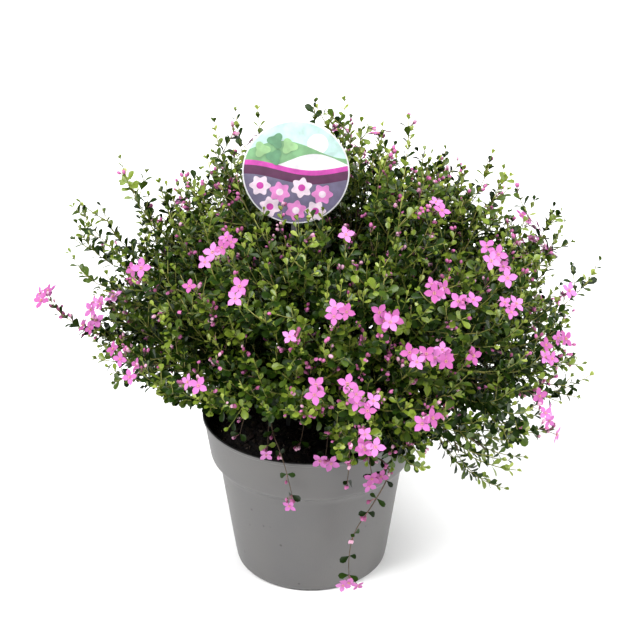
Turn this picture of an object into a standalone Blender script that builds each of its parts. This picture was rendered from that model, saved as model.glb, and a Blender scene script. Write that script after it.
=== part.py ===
"""Potted boronia: a flowering shrub in a round plastic pot, with a round plant label on a stake.

Metres, +Z up. The origin is on the ground at the middle of the pot's flat underside, and the
side that the plant is seen from is -Y.
"""

import math
import random
from collections import namedtuple

import bmesh
import bpy
from mathutils import Matrix, Vector

# Pot
POT_HEIGHT = 0.146
RIM_RADIUS = 0.095
RIM_HEIGHT = 0.003
RIM_OVERHANG = 0.0012
COLLAR_HEIGHT = 0.038
COLLAR_FOOT_RADIUS = 0.0885
SHOULDER_RADIUS = 0.0812
SHOULDER_DROP = 0.003
BASE_RADIUS = 0.067
BASE_ROUNDING = 0.004
WALL = 0.002
DRAIN_HOLES = 8
DRAIN_HOLE_RADIUS = 0.004
DRAIN_CIRCLE_RADIUS = 0.045
POT_STEPS = 32

# Soil
SOIL_TOP = 0.134
SOIL_FALL = 0.003
SOIL_FLAT_RADIUS = 0.032
SOIL_STEPS = 24

# Stem and boughs
GAP = 0.0003
STEM_BASE = Vector((0.008, 0.012, SOIL_TOP + GAP))
STEM_HEIGHT = 0.022
STEM_RADIUS = 0.0062
FLARE_RADIUS = 0.0095
HEAD_RADIUS = 0.0095
FORK = STEM_BASE + Vector((0, 0, STEM_HEIGHT + 0.6 * HEAD_RADIUS))
BOUGH_BASE_RADIUS = 0.0015
BOUGH_TIP_RADIUS = 0.0011
BOUGH_SIDES = 6
# How far above the pot's rim the boughs of the hanging sprays cross it
RIM_CROSSING = 0.009
LOW_BOUGH_HEIGHT = 0.65
BOUGH_POINTS = 4

# Foliage: a mass starts this share of its reach from the fork, and its stem ends at the other share
MASS_START = 0.34
STEM_END = 0.78
MASS_STEM_RADIUS = 0.0015
STRAIGHT_START = 0.004
MASS_STEM_SIDES = 4
TWIG_BASE_RADIUS = 0.0012
TWIG_TIP_RADIUS = 0.0008
TWIG_SIDES = 3
TWIGS = 8
TWIG_SPREAD = math.radians(25)
SPRAY_TWIGS = 3
SPRAY_SPREAD = math.radians(11)
TWIG_SAG = 0.07
LEAF_LENGTH = 0.030
LEAF_WIDTH = 0.018
LEAF_THICKNESS = 0.0016
LEAF_WIDEST = 0.62
LEAF_SPACING = 0.011
BLOSSOM_RADIUS = 0.0095
BLOSSOM_THICKNESS = 0.0036
BLOSSOM_NOTCH = 0.42
CORE_CENTRE = 0.59
CORE_LENGTH = 0.21
CORE_WIDTH = 0.14
CELL_MARGIN = 0.0006
LIMB_CLEARANCE = 0.0012
LEAF_CLEARANCE = 0.008
# Only the hanging sprays come lower than a cone that rises outwards from the fork at this slope
CROWN_FLOOR_SLOPE = 0.14
GOLDEN_ANGLE = math.pi * (3 - math.sqrt(5))

# Label
LABEL_CENTRE = Vector((-0.012, 0.010, 0.364))
LABEL_RADIUS = 0.0445
LABEL_THICKNESS = 0.0008
LABEL_LEAN = math.radians(4)
LABEL_TURN = math.radians(2)
LABEL_STEPS = 32
STAKE_WIDTH = 0.005
STAKE_POINT = 0.012
LABEL_CLEARANCE = 0.0015
CORE_LABEL_CLEARANCE = 0.012
# The foliage keeps out of the way between the label and the eye, this far above the horizon
SIGHT_ELEVATION = math.radians(28)

# A mass of foliage: the direction of its middle from the fork, in degrees, and how far its
# furthest tips are from the fork. core is how full its dense middle is, from 0 for an open spray.
Mass = namedtuple("Mass", "name azimuth elevation reach core")
MASSES = (
    Mass("side_right_back", 22, 18, 0.246, 1.0),
    Mass("side_back_right", 67, 21, 0.234, 1.0),
    Mass("side_back_left", 112, 21, 0.230, 1.0),
    Mass("side_left_back", 157, 19, 0.218, 0.7),
    Mass("side_left_front", 202, 19, 0.212, 0.7),
    Mass("side_front_left", 247, 29, 0.214, 1.0),
    Mass("side_front_right", 292, 27, 0.222, 1.0),
    Mass("side_right_front", 337, 18, 0.244, 1.0),
    Mass("upper_right", 40, 52, 0.246, 1.0),
    Mass("upper_back", 112, 52, 0.240, 1.0),
    Mass("upper_left", 184, 51, 0.230, 0.9),
    Mass("upper_front_left", 254, 56, 0.222, 0.9),
    Mass("upper_front_right", 322, 51, 0.242, 1.0),
    Mass("top_right", 22, 77, 0.250, 0.5),
    Mass("top_back", 135, 78, 0.252, 0.9),
    Mass("top_front", 262, 76, 0.172, 0.0),
    Mass("spray_lower_right", 334, -9, 0.204, 0.0),
    Mass("spray_hanging_front", 290, -34, 0.178, 0.0),
)
# Tips of the long shoots that stand out of the crown's outline
SHOOT_TIPS = (
    Vector((-0.230, -0.014, 0.242)),
    Vector((-0.188, -0.002, 0.342)),
    Vector((-0.150, 0.004, 0.378)),
    Vector((-0.160, -0.050, 0.192)),
    Vector((-0.205, -0.040, 0.208)),
    Vector((-0.076, 0.020, 0.402)),
    Vector((-0.054, 0.040, 0.404)),
    Vector((0.004, 0.040, 0.416)),
    Vector((0.026, 0.015, 0.424)),
    Vector((0.080, 0.010, 0.400)),
    Vector((0.150, 0.036, 0.364)),
    Vector((0.181, -0.020, 0.347)),
    Vector((0.212, 0.046, 0.292)),
    Vector((0.237, -0.030, 0.291)),
    Vector((0.233, -0.034, 0.188)),
    Vector((0.206, -0.030, 0.132)),
    Vector((0.155, -0.060, 0.104)),
    Vector((0.027, -0.106, 0.030)),
    Vector((-0.016, -0.120, 0.104)),
)
SEED = 7


def clear_scene():
    """Removes whatever the file starts with, and makes the three collections."""
    for obj in list(bpy.data.objects):
        bpy.data.objects.remove(obj)
    made = []
    for name in ("potted_boronia", "cutters", "guides"):
        collection = bpy.data.collections.new(name)
        bpy.context.scene.collection.children.link(collection)
        made.append(collection)
    return made


def make_material(name, colour, roughness):
    material = bpy.data.materials.new(name)
    material.use_nodes = True
    shader = material.node_tree.nodes["Principled BSDF"]
    shader.inputs["Base Color"].default_value = (*colour, 1)
    shader.inputs["Roughness"].default_value = roughness
    shader.inputs["Metallic"].default_value = 0
    return material


def make_object(name, data, collection, material=None):
    obj = bpy.data.objects.new(name, data)
    collection.objects.link(obj)
    if material:
        data.materials.append(material)
    return obj


def direction(azimuth, elevation):
    """The unit vector at these angles, in radians."""
    flat = math.cos(elevation)
    return Vector((flat * math.cos(azimuth), flat * math.sin(azimuth), math.sin(elevation)))


def axis_of(mass):
    return direction(math.radians(mass.azimuth), math.radians(mass.elevation))


AXES = {mass.name: axis_of(mass) for mass in MASSES}


def cell_depth(mass, point):
    """How far a point lies inside the cone of space that the mass keeps to, in metres.

    The cones share the fork as their point, and each holds what is nearest to its mass's axis.
    """
    arm = point - FORK
    own = AXES[mass.name]
    return min(arm.dot((own - other).normalized()) for name, other in AXES.items() if name != mass.name)


def pot_outer_radius(height):
    """The pot's outer radius at a height, with the collar's overhang taken as straight down."""
    foot = POT_HEIGHT - COLLAR_HEIGHT
    if height >= foot:
        return RIM_RADIUS
    return BASE_RADIUS + (COLLAR_FOOT_RADIUS - BASE_RADIUS) * max(height, 0) / foot


def label_matrix():
    """From the label's own plane, X across and Y up the stake, to its place."""
    upright = Matrix.Rotation(math.radians(90), 4, "X")
    lean = Matrix.Rotation(-LABEL_LEAN, 4, "X")
    turn = Matrix.Rotation(LABEL_TURN, 4, "Y")
    return Matrix.Translation(LABEL_CENTRE) @ lean @ turn @ upright


LABEL_INVERSE = label_matrix().inverted()


def crosses_label(first, second, clearance):
    """Whether the straight way between two points goes through the label or its stake."""
    first = LABEL_INVERSE @ first
    second = LABEL_INVERSE @ second
    if first.z * second.z > 0:
        return False
    drop = first.z - second.z
    at = first.lerp(second, first.z / drop if drop else 0)
    if at.xy.length < LABEL_RADIUS + clearance:
        return True
    return abs(at.x) < STAKE_WIDTH / 2 + clearance and at.y < 0


def hides_label(point):
    """Whether a point touches the label, or lies between it and the eye."""
    local = LABEL_INVERSE @ point
    sight = LABEL_INVERSE.to_3x3() @ direction(math.radians(-90), SIGHT_ELEVATION)
    ahead = local.z / sight.z
    foot = local - sight * ahead
    return ahead > -LABEL_CLEARANCE and foot.xy.length < LABEL_RADIUS + LABEL_CLEARANCE


def bezier(start, pull, end, count):
    """Points along the curve from start to end that is drawn towards pull."""
    shares = [i / (count - 1) for i in range(count)]
    return [start.lerp(pull, t).lerp(pull.lerp(end, t), t) for t in shares]


def bough_route(mass):
    """Points along a mass's bough, from the stem to where the foliage starts."""
    axis = AXES[mass.name]
    if mass.elevation > 0:
        start = FORK + axis * (HEAD_RADIUS + GAP)
        return bezier(start, start, FORK + axis * (MASS_START * mass.reach), BOUGH_POINTS)
    leave = direction(math.radians(mass.azimuth), 0)
    height = STEM_HEIGHT * (LOW_BOUGH_HEIGHT + mass.elevation / 100)
    start = STEM_BASE + Vector((0, 0, height)) + leave * (STEM_RADIUS * 1.1 + GAP)
    end = FORK + leave * (RIM_RADIUS * 1.05)
    end.z = POT_HEIGHT + RIM_CROSSING
    return bezier(start, start.lerp(end, 0.5), end, BOUGH_POINTS)


def near_low_bough(point, clearance):
    """Whether a point is too near a bough of the hanging sprays, which leave their own spaces."""
    for mass in MASSES:
        if mass.elevation < 0:
            route = bough_route(mass)
            along = route[-1] - route[0]
            share = (point - route[0]).dot(along) / along.length_squared
            nearest = route[0].lerp(route[-1], min(max(share, 0), 1))
            if (point - nearest).length < BOUGH_BASE_RADIUS + clearance:
                return True
    return False


def has_room(mass, point, clearance):
    """Whether a point is in the mass's own space and clear of the pot, the soil and the label."""
    if cell_depth(mass, point) < CELL_MARGIN + clearance:
        return False
    if (point - FORK).length < (bough_route(mass)[-1] - FORK).length + LIMB_CLEARANCE:
        return False
    if mass.elevation > 0 and point.z < FORK.z + CROWN_FLOOR_SLOPE * (point - FORK).xy.length:
        return False
    if near_low_bough(point, LIMB_CLEARANCE + clearance):
        return False
    if point.xy.length < pot_outer_radius(point.z) + LIMB_CLEARANCE + clearance:
        if point.z < POT_HEIGHT + LIMB_CLEARANCE + clearance:
            return False
    return point.z > LIMB_CLEARANCE and not hides_label(point)


def stem_route(mass):
    """Points along the mass's own stem, which goes on from the tip of its bough."""
    bough = bough_route(mass)
    onward = (bough[-1] - bough[-2]).normalized()
    start = bough[-1] + onward * GAP
    bend = start + onward * STRAIGHT_START
    end = FORK + AXES[mass.name] * (STEM_END * mass.reach)
    return [start] + bezier(bend, bend + onward * (end - bend).length * 0.4, end, BOUGH_POINTS)


def point_along(route, share):
    """The point at a share of the way along a route."""
    place = share * (len(route) - 1)
    index = min(int(place), len(route) - 2)
    return route[index].lerp(route[index + 1], place - index)


def twig_tips(mass, rng):
    """Tips of the mass's twigs: its long shoots first, then a spiral over the mass's own cone."""
    axis = AXES[mass.name]
    side = axis.orthogonal().normalized()
    for tip in SHOOT_TIPS:
        if cell_depth(mass, tip) > 0:
            yield tip - (tip - FORK).normalized() * LEAF_LENGTH * 0.9
    spread, count = (TWIG_SPREAD, TWIGS) if mass.elevation > 0 else (SPRAY_SPREAD, SPRAY_TWIGS)
    for k in range(count):
        off = spread * math.sqrt((k + 0.5) / count)
        spin = k * GOLDEN_ANGLE + rng.uniform(-0.3, 0.3)
        lean = Matrix.Rotation(spin, 3, axis) @ side
        reach = mass.reach * rng.uniform(0.88, 1.0) - LEAF_LENGTH * 0.9
        for narrowing in (1, 0.85, 0.7, 0.55):
            arm = axis * math.cos(off * narrowing) + lean * math.sin(off * narrowing)
            tip = FORK + arm * reach
            if has_room(mass, tip, LEAF_WIDTH / 2):
                yield tip
                break


def twig_route(mass, stem, tip):
    """Three points from the mass's stem to a twig's tip. A twig for a wide angle leaves early."""
    axis = AXES[mass.name]
    off = axis.angle(tip - FORK)
    start = point_along(stem, max(0.12, 0.92 - 0.9 * off / TWIG_SPREAD))
    sag = Vector((0, 0, -TWIG_SAG * (tip - start).length))
    if mass.elevation < 0:
        sag = -sag
    return [start, start.lerp(tip, 0.5) + sag, tip]


def make_outline(name, sides, collection):
    """The cross-section of a limb, as a closed guide curve of unit radius."""
    curve = bpy.data.curves.new(name, "CURVE")
    curve.dimensions = "2D"
    spline = curve.splines.new("POLY")
    spline.points.add(sides - 1)
    for i, point in enumerate(spline.points):
        turn = 2 * math.pi * i / sides
        point.co = (math.cos(turn), math.sin(turn), 0, 1)
    spline.use_cyclic_u = True
    guide = make_object(name, curve, collection)
    guide.hide_render = True
    guide.display_type = "WIRE"
    return guide


def make_limb(name, route, radii, outline, collection):
    """A tapering limb as a curve with filled caps, from its first radius to its last."""
    curve = bpy.data.curves.new(name, "CURVE")
    curve.dimensions = "3D"
    curve.bevel_mode = "OBJECT"
    curve.bevel_object = outline
    curve.use_fill_caps = True
    spline = curve.splines.new("POLY")
    spline.points.add(len(route) - 1)
    for i, (point, place) in enumerate(zip(spline.points, route)):
        point.co = (*place, 1)
        point.radius = radii[0] + (radii[1] - radii[0]) * i / (len(route) - 1)
    return make_object(name, curve, collection)


def to_mesh(obj, collection, material):
    """Makes a curve object a mesh, with its caps welded, under the same name."""
    name = obj.name
    graph = bpy.context.evaluated_depsgraph_get()
    mesh = bpy.data.meshes.new_from_object(obj.evaluated_get(graph))
    place = obj.matrix_world.copy()
    bpy.data.objects.remove(obj)
    work = bmesh.new()
    work.from_mesh(mesh)
    bmesh.ops.remove_doubles(work, verts=work.verts, dist=1e-5)
    bmesh.ops.recalc_face_normals(work, faces=work.faces)
    work.to_mesh(mesh)
    work.free()
    made = make_object(name, mesh, collection)
    made.matrix_world = place
    mesh.materials.clear()
    mesh.materials.append(material)
    return made


def turned(name, profile, steps, collection, material):
    """A solid of revolution. The profile is (radius, height), down its outer side first."""
    mesh = bpy.data.meshes.new(name)
    work = bmesh.new()
    points = [work.verts.new((radius, 0, height)) for radius, height in profile]
    for first, second in zip(points, points[1:]):
        work.edges.new((first, second))
    work.to_mesh(mesh)
    work.free()
    obj = make_object(name, mesh, collection, material)
    screw = obj.modifiers.new("turn", "SCREW")
    screw.steps = steps
    screw.render_steps = steps
    screw.use_merge_vertices = True
    screw.merge_threshold = 0.00005
    return obj


def make_pot(collection, cutters, material):
    foot = POT_HEIGHT - COLLAR_HEIGHT
    shoulder = foot - SHOULDER_DROP
    outer = [
        (RIM_RADIUS, POT_HEIGHT),
        (RIM_RADIUS, POT_HEIGHT - RIM_HEIGHT),
        (RIM_RADIUS - RIM_OVERHANG, POT_HEIGHT - RIM_HEIGHT - RIM_OVERHANG),
        (COLLAR_FOOT_RADIUS, foot),
        (COLLAR_FOOT_RADIUS - 0.0015, foot - 0.0015),
        (SHOULDER_RADIUS, shoulder),
        (BASE_RADIUS, BASE_ROUNDING),
        (BASE_RADIUS - BASE_ROUNDING * 0.35, BASE_ROUNDING * 0.25),
        (BASE_RADIUS - BASE_ROUNDING, 0),
        (0, 0),
    ]
    inner = [
        (0, WALL),
        (BASE_RADIUS - BASE_ROUNDING - WALL * 0.5, WALL),
        (BASE_RADIUS - WALL, BASE_ROUNDING + WALL * 0.5),
        (SHOULDER_RADIUS - WALL, shoulder + WALL * 0.5),
        (COLLAR_FOOT_RADIUS - WALL, foot + WALL * 0.5),
        (RIM_RADIUS - RIM_OVERHANG - WALL, POT_HEIGHT - RIM_HEIGHT),
        (RIM_RADIUS - WALL, POT_HEIGHT),
        (RIM_RADIUS, POT_HEIGHT),
    ]
    pot = turned("pot", outer + inner, POT_STEPS, collection, material)
    for i in range(DRAIN_HOLES):
        mesh = bpy.data.meshes.new(f"drain_cutter_{i}")
        work = bmesh.new()
        bmesh.ops.create_cone(
            work,
            cap_ends=True,
            segments=8,
            radius1=DRAIN_HOLE_RADIUS,
            radius2=DRAIN_HOLE_RADIUS,
            depth=WALL * 6,
        )
        work.to_mesh(mesh)
        work.free()
        cutter = make_object(mesh.name, mesh, cutters)
        turn = 2 * math.pi * (i + 0.5) / DRAIN_HOLES
        cutter.location = (DRAIN_CIRCLE_RADIUS * math.cos(turn), DRAIN_CIRCLE_RADIUS * math.sin(turn), 0)
        cutter.hide_render = True
        cutter.display_type = "WIRE"
    drain = pot.modifiers.new("drain_holes", "BOOLEAN")
    drain.operation = "DIFFERENCE"
    drain.operand_type = "COLLECTION"
    drain.collection = cutters
    drain.solver = "EXACT"
    return pot


def pot_inner_radius(height):
    """The inside radius of the pot's body and collar at a height."""
    foot = POT_HEIGHT - COLLAR_HEIGHT
    shoulder = foot - SHOULDER_DROP
    low = (BASE_RADIUS - WALL, BASE_ROUNDING + WALL * 0.5)
    mid = (SHOULDER_RADIUS - WALL, shoulder + WALL * 0.5)
    high = (COLLAR_FOOT_RADIUS - WALL, foot + WALL * 0.5)
    top = (RIM_RADIUS - RIM_OVERHANG - WALL, POT_HEIGHT - RIM_HEIGHT)
    for (r0, z0), (r1, z1) in ((low, mid), (mid, high), (high, top)):
        if height <= z1:
            return r0 + (r1 - r0) * (height - z0) / (z1 - z0)
    return top[0]


def make_soil(collection, material):
    """The root ball and compost: a plug that fills the pot to just under its rim."""
    foot = POT_HEIGHT - COLLAR_HEIGHT
    shoulder = foot - SHOULDER_DROP
    edge = SOIL_TOP - SOIL_FALL
    clear = GAP * 2
    profile = [
        (0, SOIL_TOP),
        (SOIL_FLAT_RADIUS, SOIL_TOP),
        (SOIL_FLAT_RADIUS * 2, SOIL_TOP - SOIL_FALL * 0.4),
        (pot_inner_radius(edge) - clear, edge),
        (pot_inner_radius(foot + WALL * 0.5) - clear, foot + WALL * 0.5),
        (pot_inner_radius(shoulder + WALL * 0.5) - clear, shoulder + WALL * 0.5),
        (pot_inner_radius(BASE_ROUNDING + WALL * 0.5) - clear, BASE_ROUNDING + WALL * 0.5),
        (BASE_RADIUS - BASE_ROUNDING - WALL * 0.5 - clear, WALL + GAP),
        (0, WALL + GAP),
    ]
    return turned("soil", profile, SOIL_STEPS, collection, material)


def make_stem(collection, material):
    """The short woody stem: flared at the soil, with a rounded head that the boughs leave."""
    head = STEM_HEIGHT + 0.6 * HEAD_RADIUS
    profile = [(0, head + HEAD_RADIUS)]
    for angle in (65, 40, 15, -10, -35):
        turn = math.radians(angle)
        profile.append((HEAD_RADIUS * math.cos(turn), head + HEAD_RADIUS * math.sin(turn)))
    profile += [
        (STEM_RADIUS, STEM_HEIGHT * 0.55),
        (STEM_RADIUS * 1.1, STEM_HEIGHT * 0.25),
        (FLARE_RADIUS, 0),
        (0, 0),
    ]
    stem = turned("stem", profile, 14, collection, material)
    stem.location = STEM_BASE
    return stem


def make_label(collection, material):
    """A round card and its pointed stake, cut from one thin sheet."""
    curve = bpy.data.curves.new("label", "CURVE")
    curve.dimensions = "2D"
    curve.fill_mode = "BOTH"
    curve.extrude = LABEL_THICKNESS / 2
    half = STAKE_WIDTH / 2
    opening = math.asin(half / LABEL_RADIUS)
    foot = (SOIL_TOP + GAP - LABEL_CENTRE.z) / math.cos(LABEL_LEAN)
    outline = [(half, foot + STAKE_POINT)]
    for i in range(LABEL_STEPS + 1):
        turn = math.radians(-90) + opening + (2 * math.pi - 2 * opening) * i / LABEL_STEPS
        outline.append((LABEL_RADIUS * math.cos(turn), LABEL_RADIUS * math.sin(turn)))
    outline += [(-half, foot + STAKE_POINT), (-half * 0.3, foot), (half * 0.3, foot)]
    spline = curve.splines.new("POLY")
    spline.points.add(len(outline) - 1)
    for point, (across, up) in zip(spline.points, outline):
        point.co = (across, up, 0, 1)
    spline.use_cyclic_u = True
    label = make_object("label", curve, collection)
    label.matrix_world = label_matrix()
    bpy.context.view_layer.update()
    return to_mesh(label, collection, material)


def leaf_mesh():
    """A leaf of six faces, ridged on top, with its base at the origin and its tip along +X."""
    mesh = bpy.data.meshes.new("leaf")
    work = bmesh.new()
    base = work.verts.new((0, 0, 0))
    tip = work.verts.new((LEAF_LENGTH, 0, -LEAF_THICKNESS))
    middle = LEAF_LENGTH * LEAF_WIDEST
    ring = [
        work.verts.new((middle, -LEAF_WIDTH / 2, -LEAF_THICKNESS / 2)),
        work.verts.new((middle, LEAF_WIDTH / 2, -LEAF_THICKNESS / 2)),
        work.verts.new((middle, 0, LEAF_THICKNESS / 2)),
    ]
    for first, second in zip(ring, ring[1:] + ring[:1]):
        work.faces.new((base, second, first))
        work.faces.new((tip, first, second))
    bmesh.ops.recalc_face_normals(work, faces=work.faces)
    work.to_mesh(mesh)
    work.free()
    return mesh


def blossom_mesh():
    """A flat four-petalled star of sixteen faces, facing +Z."""
    mesh = bpy.data.meshes.new("blossom")
    work = bmesh.new()
    bmesh.ops.create_uvsphere(work, u_segments=8, v_segments=2, radius=1)
    for vertex in work.verts:
        turn = math.degrees(math.atan2(vertex.co.y, vertex.co.x)) % 90
        if abs(vertex.co.z) < 0.1 and 20 < turn < 70:
            vertex.co *= BLOSSOM_NOTCH
    size = (BLOSSOM_RADIUS, BLOSSOM_RADIUS, BLOSSOM_THICKNESS / 2)
    bmesh.ops.scale(work, vec=size, verts=work.verts)
    work.to_mesh(mesh)
    work.free()
    return mesh


def core_mesh(mass, rng):
    """The dense heart of a mass: a lumpy egg, longer along the mass's axis."""
    mesh = bpy.data.meshes.new(f"core_{mass.name}")
    work = bmesh.new()
    bmesh.ops.create_uvsphere(work, u_segments=6, v_segments=4, radius=1)
    bmesh.ops.rotate(work, matrix=Matrix.Rotation(math.radians(90), 3, "Y"), verts=work.verts)
    for vertex in work.verts:
        vertex.co *= rng.uniform(0.86, 1.12)
    width = CORE_WIDTH * mass.reach * mass.core
    length = CORE_LENGTH * mass.reach * mass.core
    bmesh.ops.scale(work, vec=(length, width, width), verts=work.verts)
    heart = FORK + AXES[mass.name] * (CORE_CENTRE * mass.reach)
    place = frame_at(heart, AXES[mass.name], AXES[mass.name].orthogonal())
    bmesh.ops.transform(work, matrix=place, verts=work.verts)
    for vertex in work.verts:
        for _ in range(20):
            blocked = crosses_label(heart, vertex.co, CORE_LABEL_CLEARANCE)
            if blocked or not has_room(mass, vertex.co, LIMB_CLEARANCE):
                vertex.co = vertex.co.lerp(heart, 0.1)
    bmesh.ops.triangulate(work, faces=work.faces)
    work.to_mesh(mesh)
    work.free()
    return mesh


def frame_at(place, along, up):
    """A matrix with its X along one direction and its Z as near as can be to another."""
    x = along.normalized()
    y = up.cross(x).normalized()
    z = x.cross(y)
    turn = Matrix((x, y, z)).transposed().to_4x4()
    return Matrix.Translation(place) @ turn


def place_leaves(mass, route, rng, mesh, collection, taken):
    """Leaves in pairs along the outer part of a twig, and one at its tip, each in its own place."""
    along = (route[2] - route[1]).normalized()
    outward = (route[2] - FORK).normalized()
    places = [(1.0, None), (0.8, 0), (0.8, 1)] + [(0.55, 0.5)] * rng.randint(0, 1)
    turned_by = rng.uniform(0, math.pi)
    for share, side in places:
        base = point_along(route, share) - along * (0.0015 if side is None else 0)
        facing = (outward + Vector((0, 0, 0.8))).normalized()
        pointing = along
        if side is not None:
            swing = Matrix.Rotation(turned_by + side * math.pi, 3, along)
            across = swing @ along.orthogonal().normalized()
            pointing = (along * 0.75 + across + Vector((0, 0, 0.15))).normalized()
        facing = (facing + Vector([rng.uniform(-0.35, 0.35) for _ in range(3)])).normalized()
        place = frame_at(base, pointing, facing)
        middle = place @ Vector((LEAF_LENGTH / 2, 0, 0))
        if any((middle - other).length < LEAF_SPACING for other in taken):
            continue
        outer = [place @ vertex.co for vertex in mesh.vertices if vertex.co.x > 0]
        if near_low_bough(middle, LEAF_CLEARANCE):
            continue
        if any(crosses_label(base, point, LABEL_CLEARANCE) for point in outer):
            continue
        if any(crosses_label(outer[0], point, LABEL_CLEARANCE) for point in outer[1:]):
            continue
        if all(has_room(mass, point, 0) for point in outer):
            leaf = make_object(f"leaf_{mass.name}", mesh, collection)
            leaf.matrix_world = place
            taken.append(middle)


def place_blossom(mass, route, rng, mesh, collection):
    """One open flower on the outer side of a twig, sunk on to it."""
    outward = (route[2] - FORK).normalized()
    along = (route[2] - route[1]).normalized()
    facing = (outward + Vector([rng.uniform(-0.4, 0.4) for _ in range(3)])).normalized()
    base = point_along(route, 0.92) + facing * BLOSSOM_THICKNESS * 0.2
    side = along.cross(facing)
    if side.length < 0.2:
        side = facing.orthogonal()
    place = frame_at(base, side, facing)
    if all(has_room(mass, place @ vertex.co, 0) for vertex in mesh.vertices):
        blossom = make_object(f"blossom_{mass.name}", mesh, collection)
        blossom.matrix_world = place


def join(stem, pieces):
    """Fuses a collection of pieces to the stem, and removes them."""
    union = stem.modifiers.new("fuse", "BOOLEAN")
    union.operation = "UNION"
    union.operand_type = "COLLECTION"
    union.collection = pieces
    union.solver = "MANIFOLD"
    bpy.context.view_layer.update()
    graph = bpy.context.evaluated_depsgraph_get()
    fused = bpy.data.meshes.new_from_object(stem.evaluated_get(graph))
    stem.modifiers.clear()
    stem.data = fused
    for piece in list(pieces.objects):
        bpy.data.objects.remove(piece)
    bpy.data.collections.remove(pieces)


def make_mass(mass, outlines, shapes, collection, material):
    """One mass of foliage: its stem, twigs, leaves, open flowers and any core, as one solid."""
    rng = random.Random(f"{SEED} {mass.name}")
    pieces = bpy.data.collections.new(f"pieces_{mass.name}")
    bpy.context.scene.collection.children.link(pieces)
    route = stem_route(mass)
    radii = (MASS_STEM_RADIUS, TWIG_TIP_RADIUS)
    stem = make_limb(f"foliage_{mass.name}", route, radii, outlines[MASS_STEM_SIDES], collection)
    twigs = []
    for tip in twig_tips(mass, rng):
        way = twig_route(mass, route, tip)
        if any(crosses_label(*step, 2 * LABEL_CLEARANCE) for step in zip(way, way[1:])):
            continue
        if all(has_room(mass, place, TWIG_BASE_RADIUS) for place in way[1:]):
            radii = (TWIG_BASE_RADIUS, TWIG_TIP_RADIUS)
            twigs.append((way, make_limb(f"twig_{mass.name}", way, radii, outlines[TWIG_SIDES], pieces)))
    bpy.context.view_layer.update()
    stem = to_mesh(stem, collection, material)
    taken = []
    for number, (way, twig) in enumerate(twigs):
        to_mesh(twig, pieces, material)
        place_leaves(mass, way, rng, shapes["leaf"], pieces, taken)
        if number % 3 == 0:
            place_blossom(mass, way, rng, shapes["blossom"], pieces)
    if mass.core:
        make_object(f"core_{mass.name}", core_mesh(mass, rng), pieces)
    join(stem, pieces)
    return stem


def main():
    parts, cutters, guides = clear_scene()
    plastic = make_material("pot_plastic", (0.21, 0.205, 0.20), 0.45)
    compost = make_material("compost", (0.022, 0.017, 0.014), 0.95)
    bark = make_material("bark", (0.16, 0.11, 0.07), 0.8)
    green = make_material("foliage", (0.055, 0.10, 0.02), 0.4)
    card = make_material("label_card", (0.85, 0.75, 0.83), 0.35)
    make_pot(parts, cutters, plastic)
    make_soil(parts, compost)
    make_stem(parts, bark)
    make_label(parts, card)
    sides = (TWIG_SIDES, MASS_STEM_SIDES, BOUGH_SIDES)
    outlines = {count: make_outline(f"outline_{count}", count, guides) for count in sides}
    shapes = {"leaf": leaf_mesh(), "blossom": blossom_mesh()}
    boughs = []
    for mass in MASSES:
        radii = (BOUGH_BASE_RADIUS, BOUGH_TIP_RADIUS)
        boughs.append(make_limb(f"bough_{mass.name}", bough_route(mass), radii, outlines[BOUGH_SIDES], parts))
    bpy.context.view_layer.update()
    for bough in boughs:
        to_mesh(bough, parts, bark)
    for mass in MASSES:
        make_mass(mass, outlines, shapes, parts, green)


main()
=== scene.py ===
"""Looks of the potted boronia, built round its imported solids. Metres, +Z up, seen from -Y.

The shrub grows by the rule of the solids' own source: each mass of foliage keeps to a cone of
space that has its point at the stem's fork, and fills it with twigs out to the mass's reach.
Here the twigs fork once more, into leafy shoots with flowers and buds of their real size.
"""

import math
from collections import namedtuple

import bmesh
import bpy
import numpy as np
from mathutils import Matrix, Vector, noise


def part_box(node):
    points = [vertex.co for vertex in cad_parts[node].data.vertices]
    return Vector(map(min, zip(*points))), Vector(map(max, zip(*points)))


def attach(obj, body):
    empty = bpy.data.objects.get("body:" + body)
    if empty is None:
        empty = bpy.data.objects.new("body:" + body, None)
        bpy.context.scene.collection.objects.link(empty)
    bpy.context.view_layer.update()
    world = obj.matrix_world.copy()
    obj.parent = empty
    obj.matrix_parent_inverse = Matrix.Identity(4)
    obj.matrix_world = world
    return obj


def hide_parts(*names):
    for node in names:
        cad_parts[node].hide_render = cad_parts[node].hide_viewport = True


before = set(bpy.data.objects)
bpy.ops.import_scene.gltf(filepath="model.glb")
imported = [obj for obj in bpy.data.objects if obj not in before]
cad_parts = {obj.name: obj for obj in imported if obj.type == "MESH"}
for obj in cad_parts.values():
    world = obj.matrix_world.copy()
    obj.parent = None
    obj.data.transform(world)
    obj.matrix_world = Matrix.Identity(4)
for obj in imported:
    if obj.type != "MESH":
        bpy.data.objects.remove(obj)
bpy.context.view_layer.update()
SEED = 11
UP = Vector((0, 0, 1))
GOLDEN_ANGLE = math.pi * (3 - math.sqrt(5))

# The camera's place, from how the photograph shows the pot's rim: an ellipse about one pixel
PHOTO_SIZE = 640
PHOTO_FOCAL = 1800
PHOTO_RIM_CENTRE = (309.7, 409.1)
CAMERA_DISTANCE = 1.58
CAMERA_ELEVATION = math.radians(28.7)
SENSOR = 36
LAMP_WIDTH = 35
FLOOR_SIZE = 120

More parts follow.
